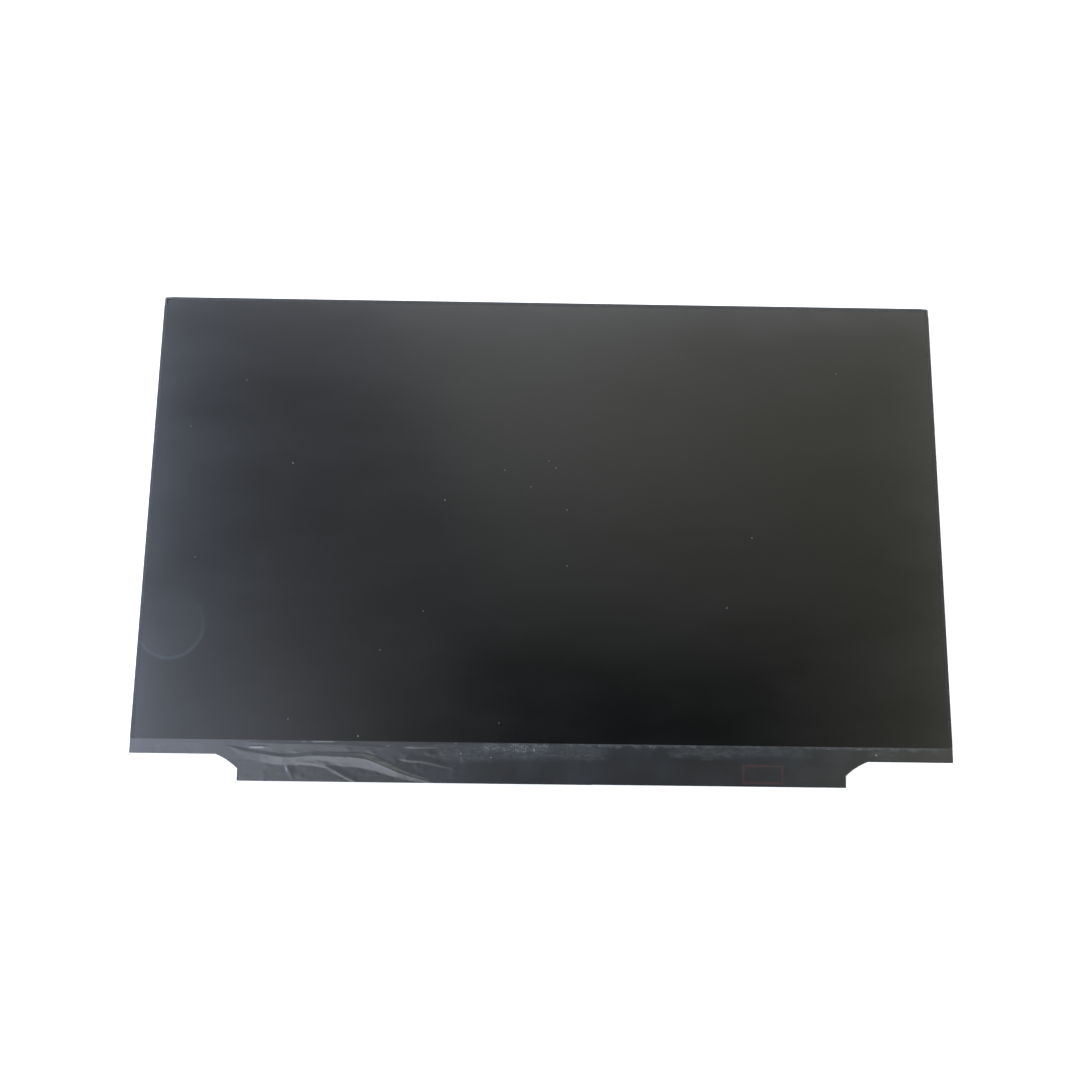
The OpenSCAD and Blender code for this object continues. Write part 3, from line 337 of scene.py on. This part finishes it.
add(tree, "OutputMaterial", {"Surface": add(tree, "BsdfPrincipled", {
    "Base Color": tone.outputs[2], "Roughness": 0.06, "IOR": 1.51})})
put_on(circuit_glass, "lower_glass")

# The same glass over the dark filter looks near black.
filter_glass, tree, place = material("thin glass with a dark colour filter")
cells = add(tree, "TexNoise", {"Vector": place, "Scale": 30, "Detail": 2})
tone = add(tree, "Mix", {0: cells, 6: linear("#16181a"), 7: linear("#1d2022")}, data_type="RGBA")
add(tree, "OutputMaterial", {"Surface": add(tree, "BsdfPrincipled", {
    "Base Color": tone.outputs[2], "Roughness": 0.1, "IOR": 1.51})})
put_on(filter_glass, "upper_glass")

# Stretched film, smooth and grey, with a slight haze.
rear_film, tree, place = material("grey polariser film, smooth")
haze = add(tree, "TexNoise", {"Vector": place, "Scale": 25, "Detail": 3})
tone = add(tree, "Mix", {0: haze, 6: linear("#38393c"), 7: linear("#424347")}, data_type="RGBA")
dull = add(tree, "MapRange", {0: haze, 1: 0.3, 2: 0.7, 3: 0.12, 4: 0.2})
add(tree, "OutputMaterial", {"Surface": add(tree, "BsdfPrincipled", {
    "Base Color": tone.outputs[2], "Roughness": dull.outputs[0], "IOR": 1.49})})
put_on(rear_film, "rear_polariser")

# Screen face. The front polariser, a cellulose film with a hard anti-glare coat, laminated
# to the glass. With the lamps off it is near black. The coat turns reflections into a soft
# haze, and it shows faint wipe marks and the ring of a suction cup.
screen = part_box("front_polariser")
cup_x, cup_y, cup_r = -161.8 * mm, -42.5 * mm, 14.2 * mm
anti_glare, tree, place = material("anti-glare polariser film")
spot = add(tree, "SeparateXYZ", {0: place})
wiped = add(tree, "Mapping", {"Vector": place, "Scale": (14, 34, 14), "Rotation": (0, 0, 0.5)})
wipes = add(tree, "TexNoise", {"Vector": wiped, "Scale": 1, "Detail": 5, "Roughness": 0.6})
reach = add(tree, "VectorMath", {0: place, 1: (cup_x, cup_y, screen[1].z)}, operation="DISTANCE")
ring = add(tree, "Math", {0: reach.outputs[1], 1: cup_r}, operation="SUBTRACT")
ring = add(tree, "Math", {0: ring}, operation="ABSOLUTE")
ring = add(tree, "MapRange", {0: ring, 1: 0.2 * mm, 2: 1.5 * mm, 3: 1, 4: 0},
           interpolation_type="SMOOTHSTEP")
lower = add(tree, "MapRange", {0: spot.outputs[1], 1: cup_y + cup_r, 2: cup_y - cup_r,
                               3: 0.15, 4: 1})
ring = add(tree, "Math", {0: ring, 1: lower}, operation="MULTIPLY")
pressed = add(tree, "MapRange", {0: reach.outputs[1], 1: cup_r - 2 * mm, 2: cup_r, 3: 0.22, 4: 0},
              interpolation_type="SMOOTHSTEP")
ring = add(tree, "Math", {0: ring, 1: pressed}, operation="MAXIMUM")
smear = add(tree, "MapRange", {0: wipes, 1: 0.35, 2: 0.75, 3: 0, 4: 1})
face = add(tree, "Mix", {0: smear, 6: linear("#050606"), 7: linear("#090a0b")}, data_type="RGBA")
tone = add(tree, "Mix", {0: ring, 6: face.outputs[2], 7: linear("#1d2427")}, data_type="RGBA")
dull = add(tree, "MapRange", {0: smear, 1: 0, 2: 1, 3: 0.15, 4: 0.19})
add(tree, "OutputMaterial", {"Surface": add(tree, "BsdfPrincipled", {
    "Base Color": tone.outputs[2], "Roughness": dull.outputs[0], "IOR": 1.5})})
put_on(anti_glare, "front_polariser")

# Driver chips. Long thin slices of bare silicon, bonded face down on the glass ledge.
# Sawn and ground, they shine like dull steel.
silicon, tree, place = material("bare silicon")
sawn = add(tree, "Mapping", {"Vector": place, "Scale": (200, 9 / mm, 200)})
marks = add(tree, "TexNoise", {"Vector": sawn, "Scale": 1, "Detail": 2})
tone = add(tree, "Mix", {0: marks, 6: linear("#4a4e55"), 7: linear("#5d6168")}, data_type="RGBA")
add(tree, "OutputMaterial", {"Surface": add(tree, "BsdfPrincipled", {
    "Base Color": tone.outputs[2], "Metallic": 0.4, "Roughness": 0.2, "IOR": 3.0})})
put_on(silicon, *(f"driver_chip_{i}" for i in (1, 2, 3, 4)))

# Bridge flexes. Amber polyimide film with copper tracks from the glass to the board,
# bonded at both ends. The tracks are drawn 0.5 mm apart so that they show.
flex_film, tree, place = material("polyimide flex with copper tracks")
bands = add(tree, "TexWave", {"Vector": place, "Scale": wave_scale(0.5)}, bands_direction="X")
tracks = add(tree, "MapRange", {0: bands, 1: 0.5, 2: 0.62}, interpolation_type="SMOOTHSTEP")
tone = add(tree, "Mix", {0: tracks, 6: linear("#6e3d12"), 7: linear("#b97a35")}, data_type="RGBA")
fine = add(tree, "Bump", {"Height": tracks, "Strength": 0.3, "Distance": 0.02 * mm})
add(tree, "OutputMaterial", {"Surface": add(tree, "BsdfPrincipled", {
    "Base Color": tone.outputs[2], "Roughness": 0.3, "IOR": 1.7, "Normal": fine})})
put_on(flex_film, *(f"bridge_flex_{i}" for i in (1, 2, 3, 4)))

# Control board. Glass fibre board under green solder mask. Copper tracks show through
# the mask as paler lines, tinned vias as dots, and the sawn edge as pale fibre.
masked_board, tree, place = material("glass fibre board, green solder mask")
long_runs = add(tree, "TexBrick", {"Vector": place, "Scale": 1, "Mortar Size": 0.09 * mm,
                                   "Mortar Smooth": 0.3, "Brick Width": 6.1 * mm,
                                   "Row Height": 0.62 * mm, "Color1": (0, 0, 0, 1),
                                   "Color2": (0, 0, 0, 1), "Mortar": (1, 1, 1, 1)})
patches = add(tree, "TexVoronoi", {"Vector": place, "Scale": 170}, distance="CHEBYCHEV",
              voronoi_dimensions="2D")
poured = add(tree, "SeparateColor", {0: patches.outputs["Color"]})
poured = add(tree, "Math", {0: poured, 1: 0.45}, operation="GREATER_THAN")
copper = add(tree, "Math", {0: long_runs.outputs["Color"], 1: poured}, operation="MAXIMUM")
holes = add(tree, "TexVoronoi", {"Vector": place, "Scale": 0.52 / mm, "Randomness": 0.9},
            voronoi_dimensions="2D")
vias = add(tree, "MapRange", {0: holes.outputs["Distance"], 1: 0.08, 2: 0.12, 3: 1, 4: 0})
kept = add(tree, "SeparateColor", {0: holes.outputs["Color"]})
kept = add(tree, "Math", {0: kept, 1: 0.5}, operation="GREATER_THAN")
vias = add(tree, "Math", {0: vias, 1: kept}, operation="MULTIPLY")
green = add(tree, "Mix", {0: copper, 6: linear("#0d2e1b"), 7: linear("#17482c")}, data_type="RGBA")
tinned = add(tree, "Mix", {0: vias, 6: green.outputs[2], 7: linear("#9fa39a")}, data_type="RGBA")
facing = add(tree, "SeparateXYZ", {0: add(tree, "NewGeometry", {}).outputs["Normal"]})
upright = add(tree, "Math", {0: facing.outputs[2]}, operation="ABSOLUTE")
edge = add(tree, "Math", {0: upright, 1: 0.5}, operation="LESS_THAN")
tone = add(tree, "Mix", {0: edge, 6: tinned.outputs[2], 7: linear("#4c4a33")}, data_type="RGBA")
dull = add(tree, "MapRange", {0: edge, 1: 0, 2: 1, 3: 0.28, 4: 0.75})
fine = add(tree, "Bump", {"Height": copper, "Strength": 0.4, "Distance": 0.03 * mm})
add(tree, "OutputMaterial", {"Surface": add(tree, "BsdfPrincipled", {
    "Base Color": tone.outputs[2], "Roughness": dull.outputs[0], "IOR": 1.55, "Normal": fine})})
put_on(masked_board, "control_board")

# Chips and rectifiers. Black epoxy moulded round the silicon, soldered to the board's
# rear face. Mould grain keeps them matt.
epoxy, tree, place = material("moulded black epoxy")
grain = add(tree, "TexNoise", {"Vector": place, "Scale": 14 / mm, "Detail": 2})
tone = add(tree, "Mix", {0: grain, 6: linear("#1c1c1e"), 7: linear("#2a2a2c")}, data_type="RGBA")
fine = add(tree, "Bump", {"Height": grain, "Strength": 0.3, "Distance": 0.02 * mm})
add(tree, "OutputMaterial", {"Surface": add(tree, "BsdfPrincipled", {
    "Base Color": tone.outputs[2], "Roughness": 0.55, "IOR": 1.55, "Normal": fine})})
put_on(epoxy, "timing_controller", "supply_chip", "lamp_driver_chip", "memory_chip",
       "rectifier_1", "rectifier_2")

# Leads and soldered ends. Copper, tinned, with the slightly uneven sheen of solder.
solder, tree, place = material("tinned solder")
pool = add(tree, "TexNoise", {"Vector": place, "Scale": 3.5 / mm, "Detail": 2})
tone = add(tree, "Mix", {0: pool, 6: linear("#b9bab8"), 7: linear("#d5d6d3")}, data_type="RGBA")
dull = add(tree, "MapRange", {0: pool, 1: 0.3, 2: 0.7, 3: 0.22, 4: 0.38})
add(tree, "OutputMaterial", {"Surface": add(tree, "BsdfPrincipled", {
    "Base Color": tone.outputs[2], "Metallic": 1.0, "Roughness": dull.outputs[0]})})
put_on(solder, "chip_leads", "capacitor_ends", "resistor_ends")

# Power coils. Pressed ferrite blocks round a copper winding, dark grey and slightly grainy.
ferrite, tree, place = material("pressed ferrite")
grain = add(tree, "TexNoise", {"Vector": place, "Scale": 7 / mm, "Detail": 3})
tone = add(tree, "Mix", {0: grain, 6: linear("#45474a"), 7: linear("#5b5d60")}, data_type="RGBA")
fine = add(tree, "Bump", {"Height": grain, "Strength": 0.4, "Distance": 0.04 * mm})
add(tree, "OutputMaterial", {"Surface": add(tree, "BsdfPrincipled", {
    "Base Color": tone.outputs[2], "Roughness": 0.62, "Normal": fine})})
put_on(ferrite, *(f"power_coil_{i}" for i in (1, 2, 3)))

# Fuse, capacitors and resistors. Fired ceramic: white for the fuse, tan for the
# capacitors, black glaze on the resistors.
for name, light, dark, gloss in (("board_fuse", "#ecebe4", "#dcdad0", 0.35),
                                 ("ceramic_capacitors", "#b5946a", "#9c7c54", 0.4),
                                 ("chip_resistors", "#26262a", "#161618", 0.25)):
    fired, tree, place = material("fired ceramic of the " + name.replace("_", " "))
    grain = add(tree, "TexNoise", {"Vector": place, "Scale": 9 / mm, "Detail": 2})
    tone = add(tree, "Mix", {0: grain, 6: linear(dark), 7: linear(light)}, data_type="RGBA")
    add(tree, "OutputMaterial", {"Surface": add(tree, "BsdfPrincipled", {
        "Base Color": tone.outputs[2], "Roughness": gloss, "IOR": 1.6})})
    put_on(fired, name)

# Signal socket. A body moulded in ivory liquid crystal polymer, a shell stamped from
# tin-plated steel and a row of gold-plated contacts, soldered to the board.
# The polymer flows in pale streaks and stays slightly glossy.
ivory, tree, place = material("ivory moulded connector plastic")
flow = add(tree, "TexNoise", {"Vector": place, "Scale": 0.9 / mm, "Detail": 3})
tone = add(tree, "Mix", {0: flow, 6: linear("#ddd4bd"), 7: linear("#ece5d2")}, data_type="RGBA")
add(tree, "OutputMaterial", {"Surface": add(tree, "BsdfPrincipled", {
    "Base Color": tone.outputs[2], "Roughness": 0.45, "IOR": 1.6})})
put_on(ivory, "socket_body")

# Rolled and plated steel: bright, with fine marks along the rolling.
stamped, tree, place = material("stamped steel, tin plated")
rolled = add(tree, "Mapping", {"Vector": place, "Scale": (900, 12 / mm, 12 / mm)})
marks = add(tree, "TexNoise", {"Vector": rolled, "Scale": 1, "Detail": 2})
tone = add(tree, "Mix", {0: marks, 6: linear("#aeb1b3"), 7: linear("#c7c9ca")}, data_type="RGBA")
dull = add(tree, "MapRange", {0: marks, 1: 0.3, 2: 0.7, 3: 0.24, 4: 0.36})
add(tree, "OutputMaterial", {"Surface": add(tree, "BsdfPrincipled", {
    "Base Color": tone.outputs[2], "Metallic": 1.0, "Roughness": dull.outputs[0]})})
put_on(stamped, "socket_shell")

# Gold plate, worn a little uneven by the plug.
gilt, tree, place = material("gold-plated contact")
marks = add(tree, "TexNoise", {"Vector": place, "Scale": 8 / mm})
tone = add(tree, "Mix", {0: marks, 6: linear("#d9a441"), 7: linear("#ecc368")}, data_type="RGBA")
add(tree, "OutputMaterial", {"Surface": add(tree, "BsdfPrincipled", {
    "Base Color": tone.outputs[2], "Metallic": 1.0, "Roughness": 0.22})})
put_on(gilt, "socket_contacts")

# Ground foil. Woven cloth plated with nickel, stuck from the board to the rear cover.
# Its threads glint in dull silver, and are drawn 0.3 mm apart so that they show.
plated_cloth, tree, place = material("nickel-plated cloth")
warp = add(tree, "TexWave", {"Vector": place, "Scale": wave_scale(0.3)}, bands_direction="X")
weft = add(tree, "TexWave", {"Vector": place, "Scale": wave_scale(0.3)}, bands_direction="Y")
weave = add(tree, "Math", {0: warp, 1: weft}, operation="MULTIPLY")
tone = add(tree, "Mix", {0: weave, 6: linear("#8f8f90"), 7: linear("#c4c4c3")}, data_type="RGBA")
fine = add(tree, "Bump", {"Height": weave, "Strength": 0.6, "Distance": 0.05 * mm})
add(tree, "OutputMaterial", {"Surface": add(tree, "BsdfPrincipled", {
    "Base Color": tone.outputs[2], "Metallic": 1.0, "Roughness": 0.42, "Normal": fine})})
put_on(plated_cloth, "ground_foil")

# Edge tapes. Thin black polyester tape, folded by hand from the screen's rim round to
# the rear cover, so its surface waves a little and dust clings to its edges.
black_tape, tree, place = material("thin black polyester tape")
waves = add(tree, "TexNoise", {"Vector": place, "Scale": 120, "Detail": 3})
lint = add(tree, "TexNoise", {"Vector": place, "Scale": 2.6 / mm, "Detail": 3})
lint = add(tree, "MapRange", {0: lint, 1: 0.56, 2: 0.7}, interpolation_type="SMOOTHSTEP")
tone = add(tree, "Mix", {0: lint, 6: linear("#101214"), 7: linear("#33373a")}, data_type="RGBA")
fine = add(tree, "Bump", {"Height": waves, "Strength": 0.3, "Distance": 0.3 * mm})
dull = add(tree, "MapRange", {0: waves, 1: 0.3, 2: 0.7, 3: 0.24, 4: 0.36})
add(tree, "OutputMaterial", {"Surface": add(tree, "BsdfPrincipled", {
    "Base Color": tone.outputs[2], "Roughness": dull.outputs[0], "IOR": 1.5,
    "Specular IOR Level": 0.35, "Normal": fine})})
put_on(black_tape, "left_edge_tape", "right_edge_tape", "top_edge_tape")

# Cover film. Black polyester film of 0.08 mm, stuck along the screen's lower edge and over
# the ledge. It hangs loose over the board at the left, where it is creased, and lies
# smooth at the right. It steps back a little along its lower edge.
# All its sizes are in millimetres. This is its outline, with an arc at each wing.
film_t = 0.08
film_side, film_end, wing_out = 175.27, 129.13, 138.73
film_top, panel_edge, film_low = -91.025, -97.125, -108.125
step_x, step = 21, 0.1
arc_x, arc_y, arc_r = 148.65, -123.65, 28.32
# y and height along its underside, from the board up to the glass
board_z, glass_z = 2.49, 2.81
underside = ((film_low, board_z), (-99.5, board_z), (-91.525, glass_z), (film_top, glass_z))
# where it lies flat again, how high it rises, and how soon it comes free of the glue
# at the left wing, at the right and at the seam
loose_end, crest = -29.13, 0.499
free_left, free_right, free_seam = 8, 6, 0.6
# the small puckers between the folds: how high, and from where to where they grow
pucker, pucker_from, pucker_to = 0.05, -93, -96
# each fold: x, y and height along its crest, then how steeply its upper and lower flank fall
folds = (
    (((-126, -91.9, 0), (-120, -92.2, 0.16), (-112, -92.4, 0.22), (-84, -92.5, 0.22),
      (-74, -92.9, 0.1), (-64, -93.4, 0)), 0.16, 0.024),
    (((-139, -92, 0), (-133, -93.9, 0.1), (-127, -95.6, 0.23), (-120, -96.8, 0.34),
      (-114, -97.6, 0.38), (-109, -98.1, 0.37), (-104, -97.8, 0.38), (-98, -97.3, 0.42),
      (-90, -97.2, 0.45), (-82, -97.5, 0.45), (-76, -98.2, 0.45), (-72, -99.2, 0.43),
      (-66, -101.6, 0.35), (-61, -103.6, 0.28), (-55, -105.5, 0.2), (-48, -107.1, 0.12),
      (-43, -108.4, 0)), 0.19, 0.107))
# the sharp wrinkles that lie on the folds, in the same form
wrinkles = (
    (((-109.5, -98.6, 0), (-107.5, -99.2, 0.05), (-104, -100, 0.09), (-98, -100.8, 0.09),
      (-91.5, -101.7, 0.09), (-89, -103.1, 0.1), (-86, -104.6, 0.1), (-83.5, -106, 0.1),
      (-80, -107.4, 0.08), (-78, -108.3, 0)), 0.04, 0.13),
    (((-105.3, -108.1, 0), (-106.3, -106, 0.06), (-107.6, -103.5, 0.1), (-108.6, -101, 0.1),
      (-109.4, -98.6, 0)), 0.11, 0.03),
    (((-76.5, -98.2, 0), (-74.5, -98.6, 0.06), (-69, -100.5, 0.07), (-64, -102.5, 0.06),
      (-60, -104.2, 0)), 0.12, 0.07),
    (((-61.5, -98.3, 0), (-58, -98.5, 0.09), (-50, -99.2, 0.09), (-46, -99.9, 0.08),
      (-42, -101, 0.07), (-35, -102.4, 0)), 0.04, 0.08),
    (((-128, -93.7, 0), (-123.5, -93.8, 0.1), (-119, -93.8, 0.1), (-115, -93.9, 0)), 0.14, 0.15),
    (((-101, -91.6, 0), (-97, -91.6, 0.06), (-89, -91.6, 0.06), (-84, -91.6, 0)), 0.15, 0.15),
    (((-60, -93.4, 0), (-55, -93.2, 0.15), (-45, -93, 0.15), (-40, -92.6, 0.1),
      (-30, -92.3, 0)), 0.15, 0.25))


def between(value, low, high):
    """How far a value has come from low to high, from 0 to 1."""
    return max(0.0, min(1.0, (value - low) / (high - low)))


def lower_edge(x):
    """Where the film ends at x."""
    if abs(x) > wing_out:
        return panel_edge
    if abs(x) > film_end:
        return arc_y + math.sqrt(arc_r ** 2 - (arc_x - abs(x)) ** 2)
    return film_low + (step if x > step_x else 0)


def fold_height(x, y, crest_line, upper, lower):
    """Height of one fold at a place. Its crest line runs to the right, or upwards."""
    best = 0.0
    for (x1, y1, height1), (x2, y2, height2) in zip(crest_line, crest_line[1:]):
        run_x, run_y = x2 - x1, y2 - y1
        along = between((x - x1) * run_x + (y - y1) * run_y, 0, run_x ** 2 + run_y ** 2)
        off = math.hypot(x - x1 - along * run_x, y - y1 - along * run_y)
        fall = upper if run_x * (y - y1) > run_y * (x - x1) else lower
        best = max(best, height1 + (height2 - height1) * along - fall * off)
    return best


def film_height(x, y):
    """Height of the film's underside."""
    for (low, z_low), (high, z_high) in zip(underside, underside[1:]):
        if y <= high:
            break
    z = z_low + (z_high - z_low) * between(y, low, high)
    if x > loose_end or x < -wing_out:
        return z
    lift = max(fold_height(x, y, *fold) for fold in folds)
    lift += max(fold_height(x, y, *wrinkle) for wrinkle in wrinkles)
    broad = noise.noise(Vector((x / 5, y / 2.2, 3.1)))
    narrow = noise.noise(Vector((x / 1.8, y / 1.1, 8.7)))
    lift += pucker * max(0.0, broad + 0.5 * narrow) * between(y, pucker_from, pucker_to)
    free = between(x, -wing_out, -wing_out + free_left)
    free *= between(x, loose_end, loose_end - free_right)
    free *= between(y, film_top, film_top - free_seam)
    return z + free * min(crest - max(0.0, z - board_z), lift)


# The film's columns stand closer where it is creased, with a narrow one at each jump of
# its lower edge. Each row keeps its place, and ends on the arc where that comes first.
jump = 0.01
columns = []
for start, end, count in (
        (-film_side, -wing_out, 50), (-wing_out, -film_end - jump, 24),
        (-film_end - jump, -film_end, 1), (-film_end, loose_end, 250),
        (loose_end, step_x, 100), (step_x, step_x + jump, 1),
        (step_x + jump, film_end, 200), (film_end, film_end + jump, 1),
        (film_end + jump, wing_out, 20), (wing_out, film_side, 50)):
    columns += [start + (end - start) * i / count for i in range(count)]
columns.append(film_side)
ledge_rows, board_rows = 28, 36
last_column, last_row = len(columns) - 1, ledge_rows + board_rows
shape = bmesh.new()
bmesh.ops.create_grid(shape, x_segments=last_column, y_segments=last_row, size=1)
for corner in shape.verts:
    x = columns[round((corner.co.x + 1) / 2 * last_column)]
    row = round((1 - corner.co.y) / 2 * last_row)
    if row <= ledge_rows:
        y = film_top + (panel_edge - film_top) * row / ledge_rows
    elif row < last_row:
        y = panel_edge + (film_low - panel_edge) * (row - ledge_rows) / board_rows
        y = max(y, lower_edge(x))
    else:
        y = lower_edge(x)
    corner.co = Vector((x, y, film_height(x, y))) * mm
bmesh.ops.remove_doubles(shape, verts=shape.verts[:], dist=0.001 * mm)
raised = bmesh.ops.extrude_face_region(shape, geom=shape.faces[:], use_keep_orig=True)["geom"]
bmesh.ops.translate(shape, verts=[part for part in raised if isinstance(part, bmesh.types.BMVert)],
                    vec=(0, 0, film_t * mm))
bmesh.ops.recalc_face_normals(shape, faces=shape.faces[:])

# Black film, calendered smooth on a body that has gone slightly dull, so a soft sheen lies
# under a sharper one. Residue of old glue, left where a tape was pulled off, makes it
# greyer and crumbly along the seam, and a painted highlight lightens its top edge. Pale
# glints are painted along the sharpest creases. A faint plain box is printed near its right end.
smooth_film, tree, place = material("black polyester film, creased")
clouds = add(tree, "TexNoise", {"Vector": place, "Scale": 70, "Detail": 4})
clouds = add(tree, "MapRange", {0: clouds, 1: 0.35, 2: 0.65})
tone = add(tree, "Mix", {0: clouds, 6: linear("#0c0e10"), 7: linear("#16191d")}, data_type="RGBA")
residue = add(tree, "Attribute", {}, attribute_name="residue")
dragged = add(tree, "Mapping", {"Vector": place, "Scale": (500, 1.3 / mm, 500)})
patchy = add(tree, "TexNoise", {"Vector": dragged, "Scale": 1, "Detail": 5, "Roughness": 0.75})
patchy = add(tree, "MapRange", {0: patchy, 1: 0.35, 2: 0.7})
# old glue, and a painted highlight along the film's top edge, lighten the film here
grime_and_highlight = add(tree, "Math", {0: patchy, 1: residue.outputs["Fac"]}, operation="MULTIPLY")
tone = add(tree, "Mix", {0: grime_and_highlight, 6: tone.outputs[2], 7: linear("#43484a")}, data_type="RGBA")
crumbs = add(tree, "TexVoronoi", {"Vector": place, "Scale": 1.15 / mm}, voronoi_dimensions="2D")
loose = add(tree, "SeparateColor", {0: crumbs.outputs["Color"]})
loose = add(tree, "Math", {0: loose, 1: residue.outputs["Fac"]}, operation="MULTIPLY")
loose = add(tree, "Math", {0: loose, 1: 0.66}, operation="GREATER_THAN")
crumbs = add(tree, "MapRange", {0: crumbs.outputs["Distance"], 1: 0.1, 2: 0.26, 3: 1, 4: 0})
crumbs = add(tree, "Math", {0: crumbs, 1: loose}, operation="MULTIPLY")
tone = add(tree, "Mix", {0: crumbs, 6: tone.outputs[2], 7: linear("#70767a")}, data_type="RGBA")
# painted highlight: pale glints painted along the sharpest creases
creased = add(tree, "Attribute", {}, attribute_name="crease mark")
tone = add(tree, "Mix", {0: creased.outputs["Fac"], 6: tone.outputs[2], 7: linear("#565c5f")},
           data_type="RGBA")
printed = add(tree, "Attribute", {}, attribute_name="printed box")
tone = add(tree, "Mix", {0: printed.outputs["Fac"], 6: tone.outputs[2], 7: linear("#51292d")},
           data_type="RGBA")
grime_and_highlight = add(tree, "Math", {0: grime_and_highlight, 1: crumbs}, operation="MAXIMUM")
dull = add(tree, "MapRange", {0: grime_and_highlight, 1: 0, 2: 1, 3: 0.38, 4: 0.6})
fine = add(tree, "Bump", {"Height": grime_and_highlight, "Strength": 0.4, "Distance": 0.08 * mm})
add(tree, "OutputMaterial", {"Surface": add(tree, "BsdfPrincipled", {
    "Base Color": tone.outputs[2], "Roughness": dull.outputs[0], "IOR": 1.5,
    "Specular IOR Level": 0.34, "Coat Weight": 1.0, "Coat Roughness": 0.12, "Normal": fine})})
film = as_object("creased_cover_film", shape, smooth_film)

# Old glue, and a painted highlight on the film's top edge: x from, x to, y from, y to and
# strength of each smear, then how ragged the smears are, and how softly they fade sideways, below
# and at the seam.
smears_and_edge_highlight = ((-166, -142.5, -96.8, -92.5, 0.3), (-44, -20, -98.4, -91.3, 0.4),
          (-26, 3, -95, -91.2, 0.95), (-20, 27, -97.6, -91.3, 0.5),
          (56, 84.5, -96.2, -92.3, 0.5), (84.5, 115.3, -95.4, -92, 0.4),
          # the first smear here, along the film's top edge, is a painted highlight, not glue
          (8, 172, -91.7, -91, 1.3), (142.2, 144.2, -95.1, -92.6, 0.9),
          (144, 152, -96.6, -91.5, 0.3))
rag, fade_side, fade_low, fade_seam = 1.2, 3, 1, 0.6
# Painted glints, pale highlights painted along the sharpest creases: x from, x to, y and
# strength of each, then how far from its middle it is gone and still full, and how far past and
# before its ends.
painted_glints = ((-124.4, -118.4, -94.15, 1.0), (-102.5, -100.3, -91.5, 0.35),
           (-98, -88.6, -91.45, 0.45), (-66.6, -65, -92.9, 0.5))
glint_gone, glint_full, end_gone, end_full = 0.5, 0.12, 0.4, 0.8
# Printed box: its edges, its line's width, and how strongly the worn print shows.
box_left, box_right, box_low, box_high = 85.3, 102.4, -106.6, -99.1
line_w, print_strength = 0.45, 0.3
names = ("residue", "printed box", "crease mark")
for name in names:
    film.data.attributes.new(name, "FLOAT", "POINT")
amount, printed, pale = (film.data.attributes[name] for name in names)
for i, corner in enumerate(film.data.vertices):
    x, y = corner.co.x / mm, corner.co.y / mm
    ragged = rag * noise.noise(Vector((x / 3, y / 2, 5.3)))
    # glue residue, and the painted highlight along the film's top edge
    amount.data[i].value = max(
        strength * between(x + 3 * ragged, left - fade_side, left + fade_side)
        * between(x + 3 * ragged, right + fade_side, right - fade_side)
        * between(y + ragged, low - fade_low, low + fade_low)
        * between(y + 0.4 * ragged, high + fade_seam, high - fade_seam)
        for left, right, low, high, strength in smears_and_edge_highlight)
    # painted glints along the sharpest creases
    pale.data[i].value = max(
        strength * between(x, left - end_gone, left + end_full)
        * between(x, right + end_gone, right - end_full)
        * between(abs(y - middle), glint_gone, glint_full)
        for left, right, middle, strength in painted_glints)
    edge = max(box_left - x, x - box_right, box_low - y, y - box_high)
    printed.data[i].value = print_strength * between(abs(edge + line_w / 2), line_w, line_w / 2)
for face in film.data.polygons:
    face.use_smooth = True
film.data.set_sharp_from_angle(angle=1.0)  # its cut edges
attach(film, "root")
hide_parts("cover_film")

# Dust. Flecks of lint lie on the screen and on the film's seam, where it was handled.
# Each is a flat oval of matted fibre, sunk a little into what it lies on.
# In millimetres: x, y and radius of each fleck, and the half height that all have.
flecks = ((-135.4, 68.8, 0.28), (-159.1, 46.9, 0.25), (-112.6, 30.5, 0.34), (-44.5, 14.6, 0.3),
          (-18.2, 28.7, 0.26), (1.4, 33.1, 0.24), (4.6, 30.0, 0.28), (-6.5, 21.1, 0.24),
          (9.6, 10.9, 0.26), (9.8, -14.3, 0.24), (91.5, -0.6, 0.28), (79.8, -31.9, 0.3),
          (-52.6, -35.0, 0.28), (-70.7, -52.2, 0.26), (-108.7, -82.1, 0.28),
          (-78.6, -88.9, 0.38), (-18.7, -82.7, 0.24), (131.6, 76.0, 0.26),
          (-153.1, -12.6, 0.26), (-34.7, -95.6, 0.3), (-3.6, -94.0, 0.38),
          (-21.8, -97.2, 0.32), (-36.8, -91.7, 0.26), (1.8, -92.2, 0.3), (142.4, -94.2, 0.42))
half_height, raised_by = 0.02, 0.015
longer, narrower = 1.1, 0.55
shape = bmesh.new()
spread = random.Random(5)
for x, y, radius in flecks:
    ground = screen[1].z if y > film_top else (film_height(x, y) + film_t) * mm
    move = Matrix.Translation((x * mm, y * mm, ground + raised_by * mm))
    turn = Matrix.Rotation(spread.uniform(0, math.pi), 4, "Z")
    size = Matrix.Diagonal((radius * longer * mm, radius * narrower * mm, half_height * mm, 1))
    bmesh.ops.create_icosphere(shape, subdivisions=2, radius=1, matrix=move @ turn @ size)
# Lint scatters light in its fibres, so it looks pale and quite matt.
lint, tree, place = material("pale lint")
fuzz = add(tree, "TexNoise", {"Vector": place, "Scale": 4 / mm, "Detail": 2})
tone = add(tree, "Mix", {0: fuzz, 6: linear("#54585a"), 7: linear("#7e8282")}, data_type="RGBA")
add(tree, "OutputMaterial", {"Surface": add(tree, "BsdfPrincipled", {
    "Base Color": tone.outputs[2], "Roughness": 0.9, "IOR": 1.5})})
dust = as_object("dust_flecks", shape, lint)
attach(dust, "root")
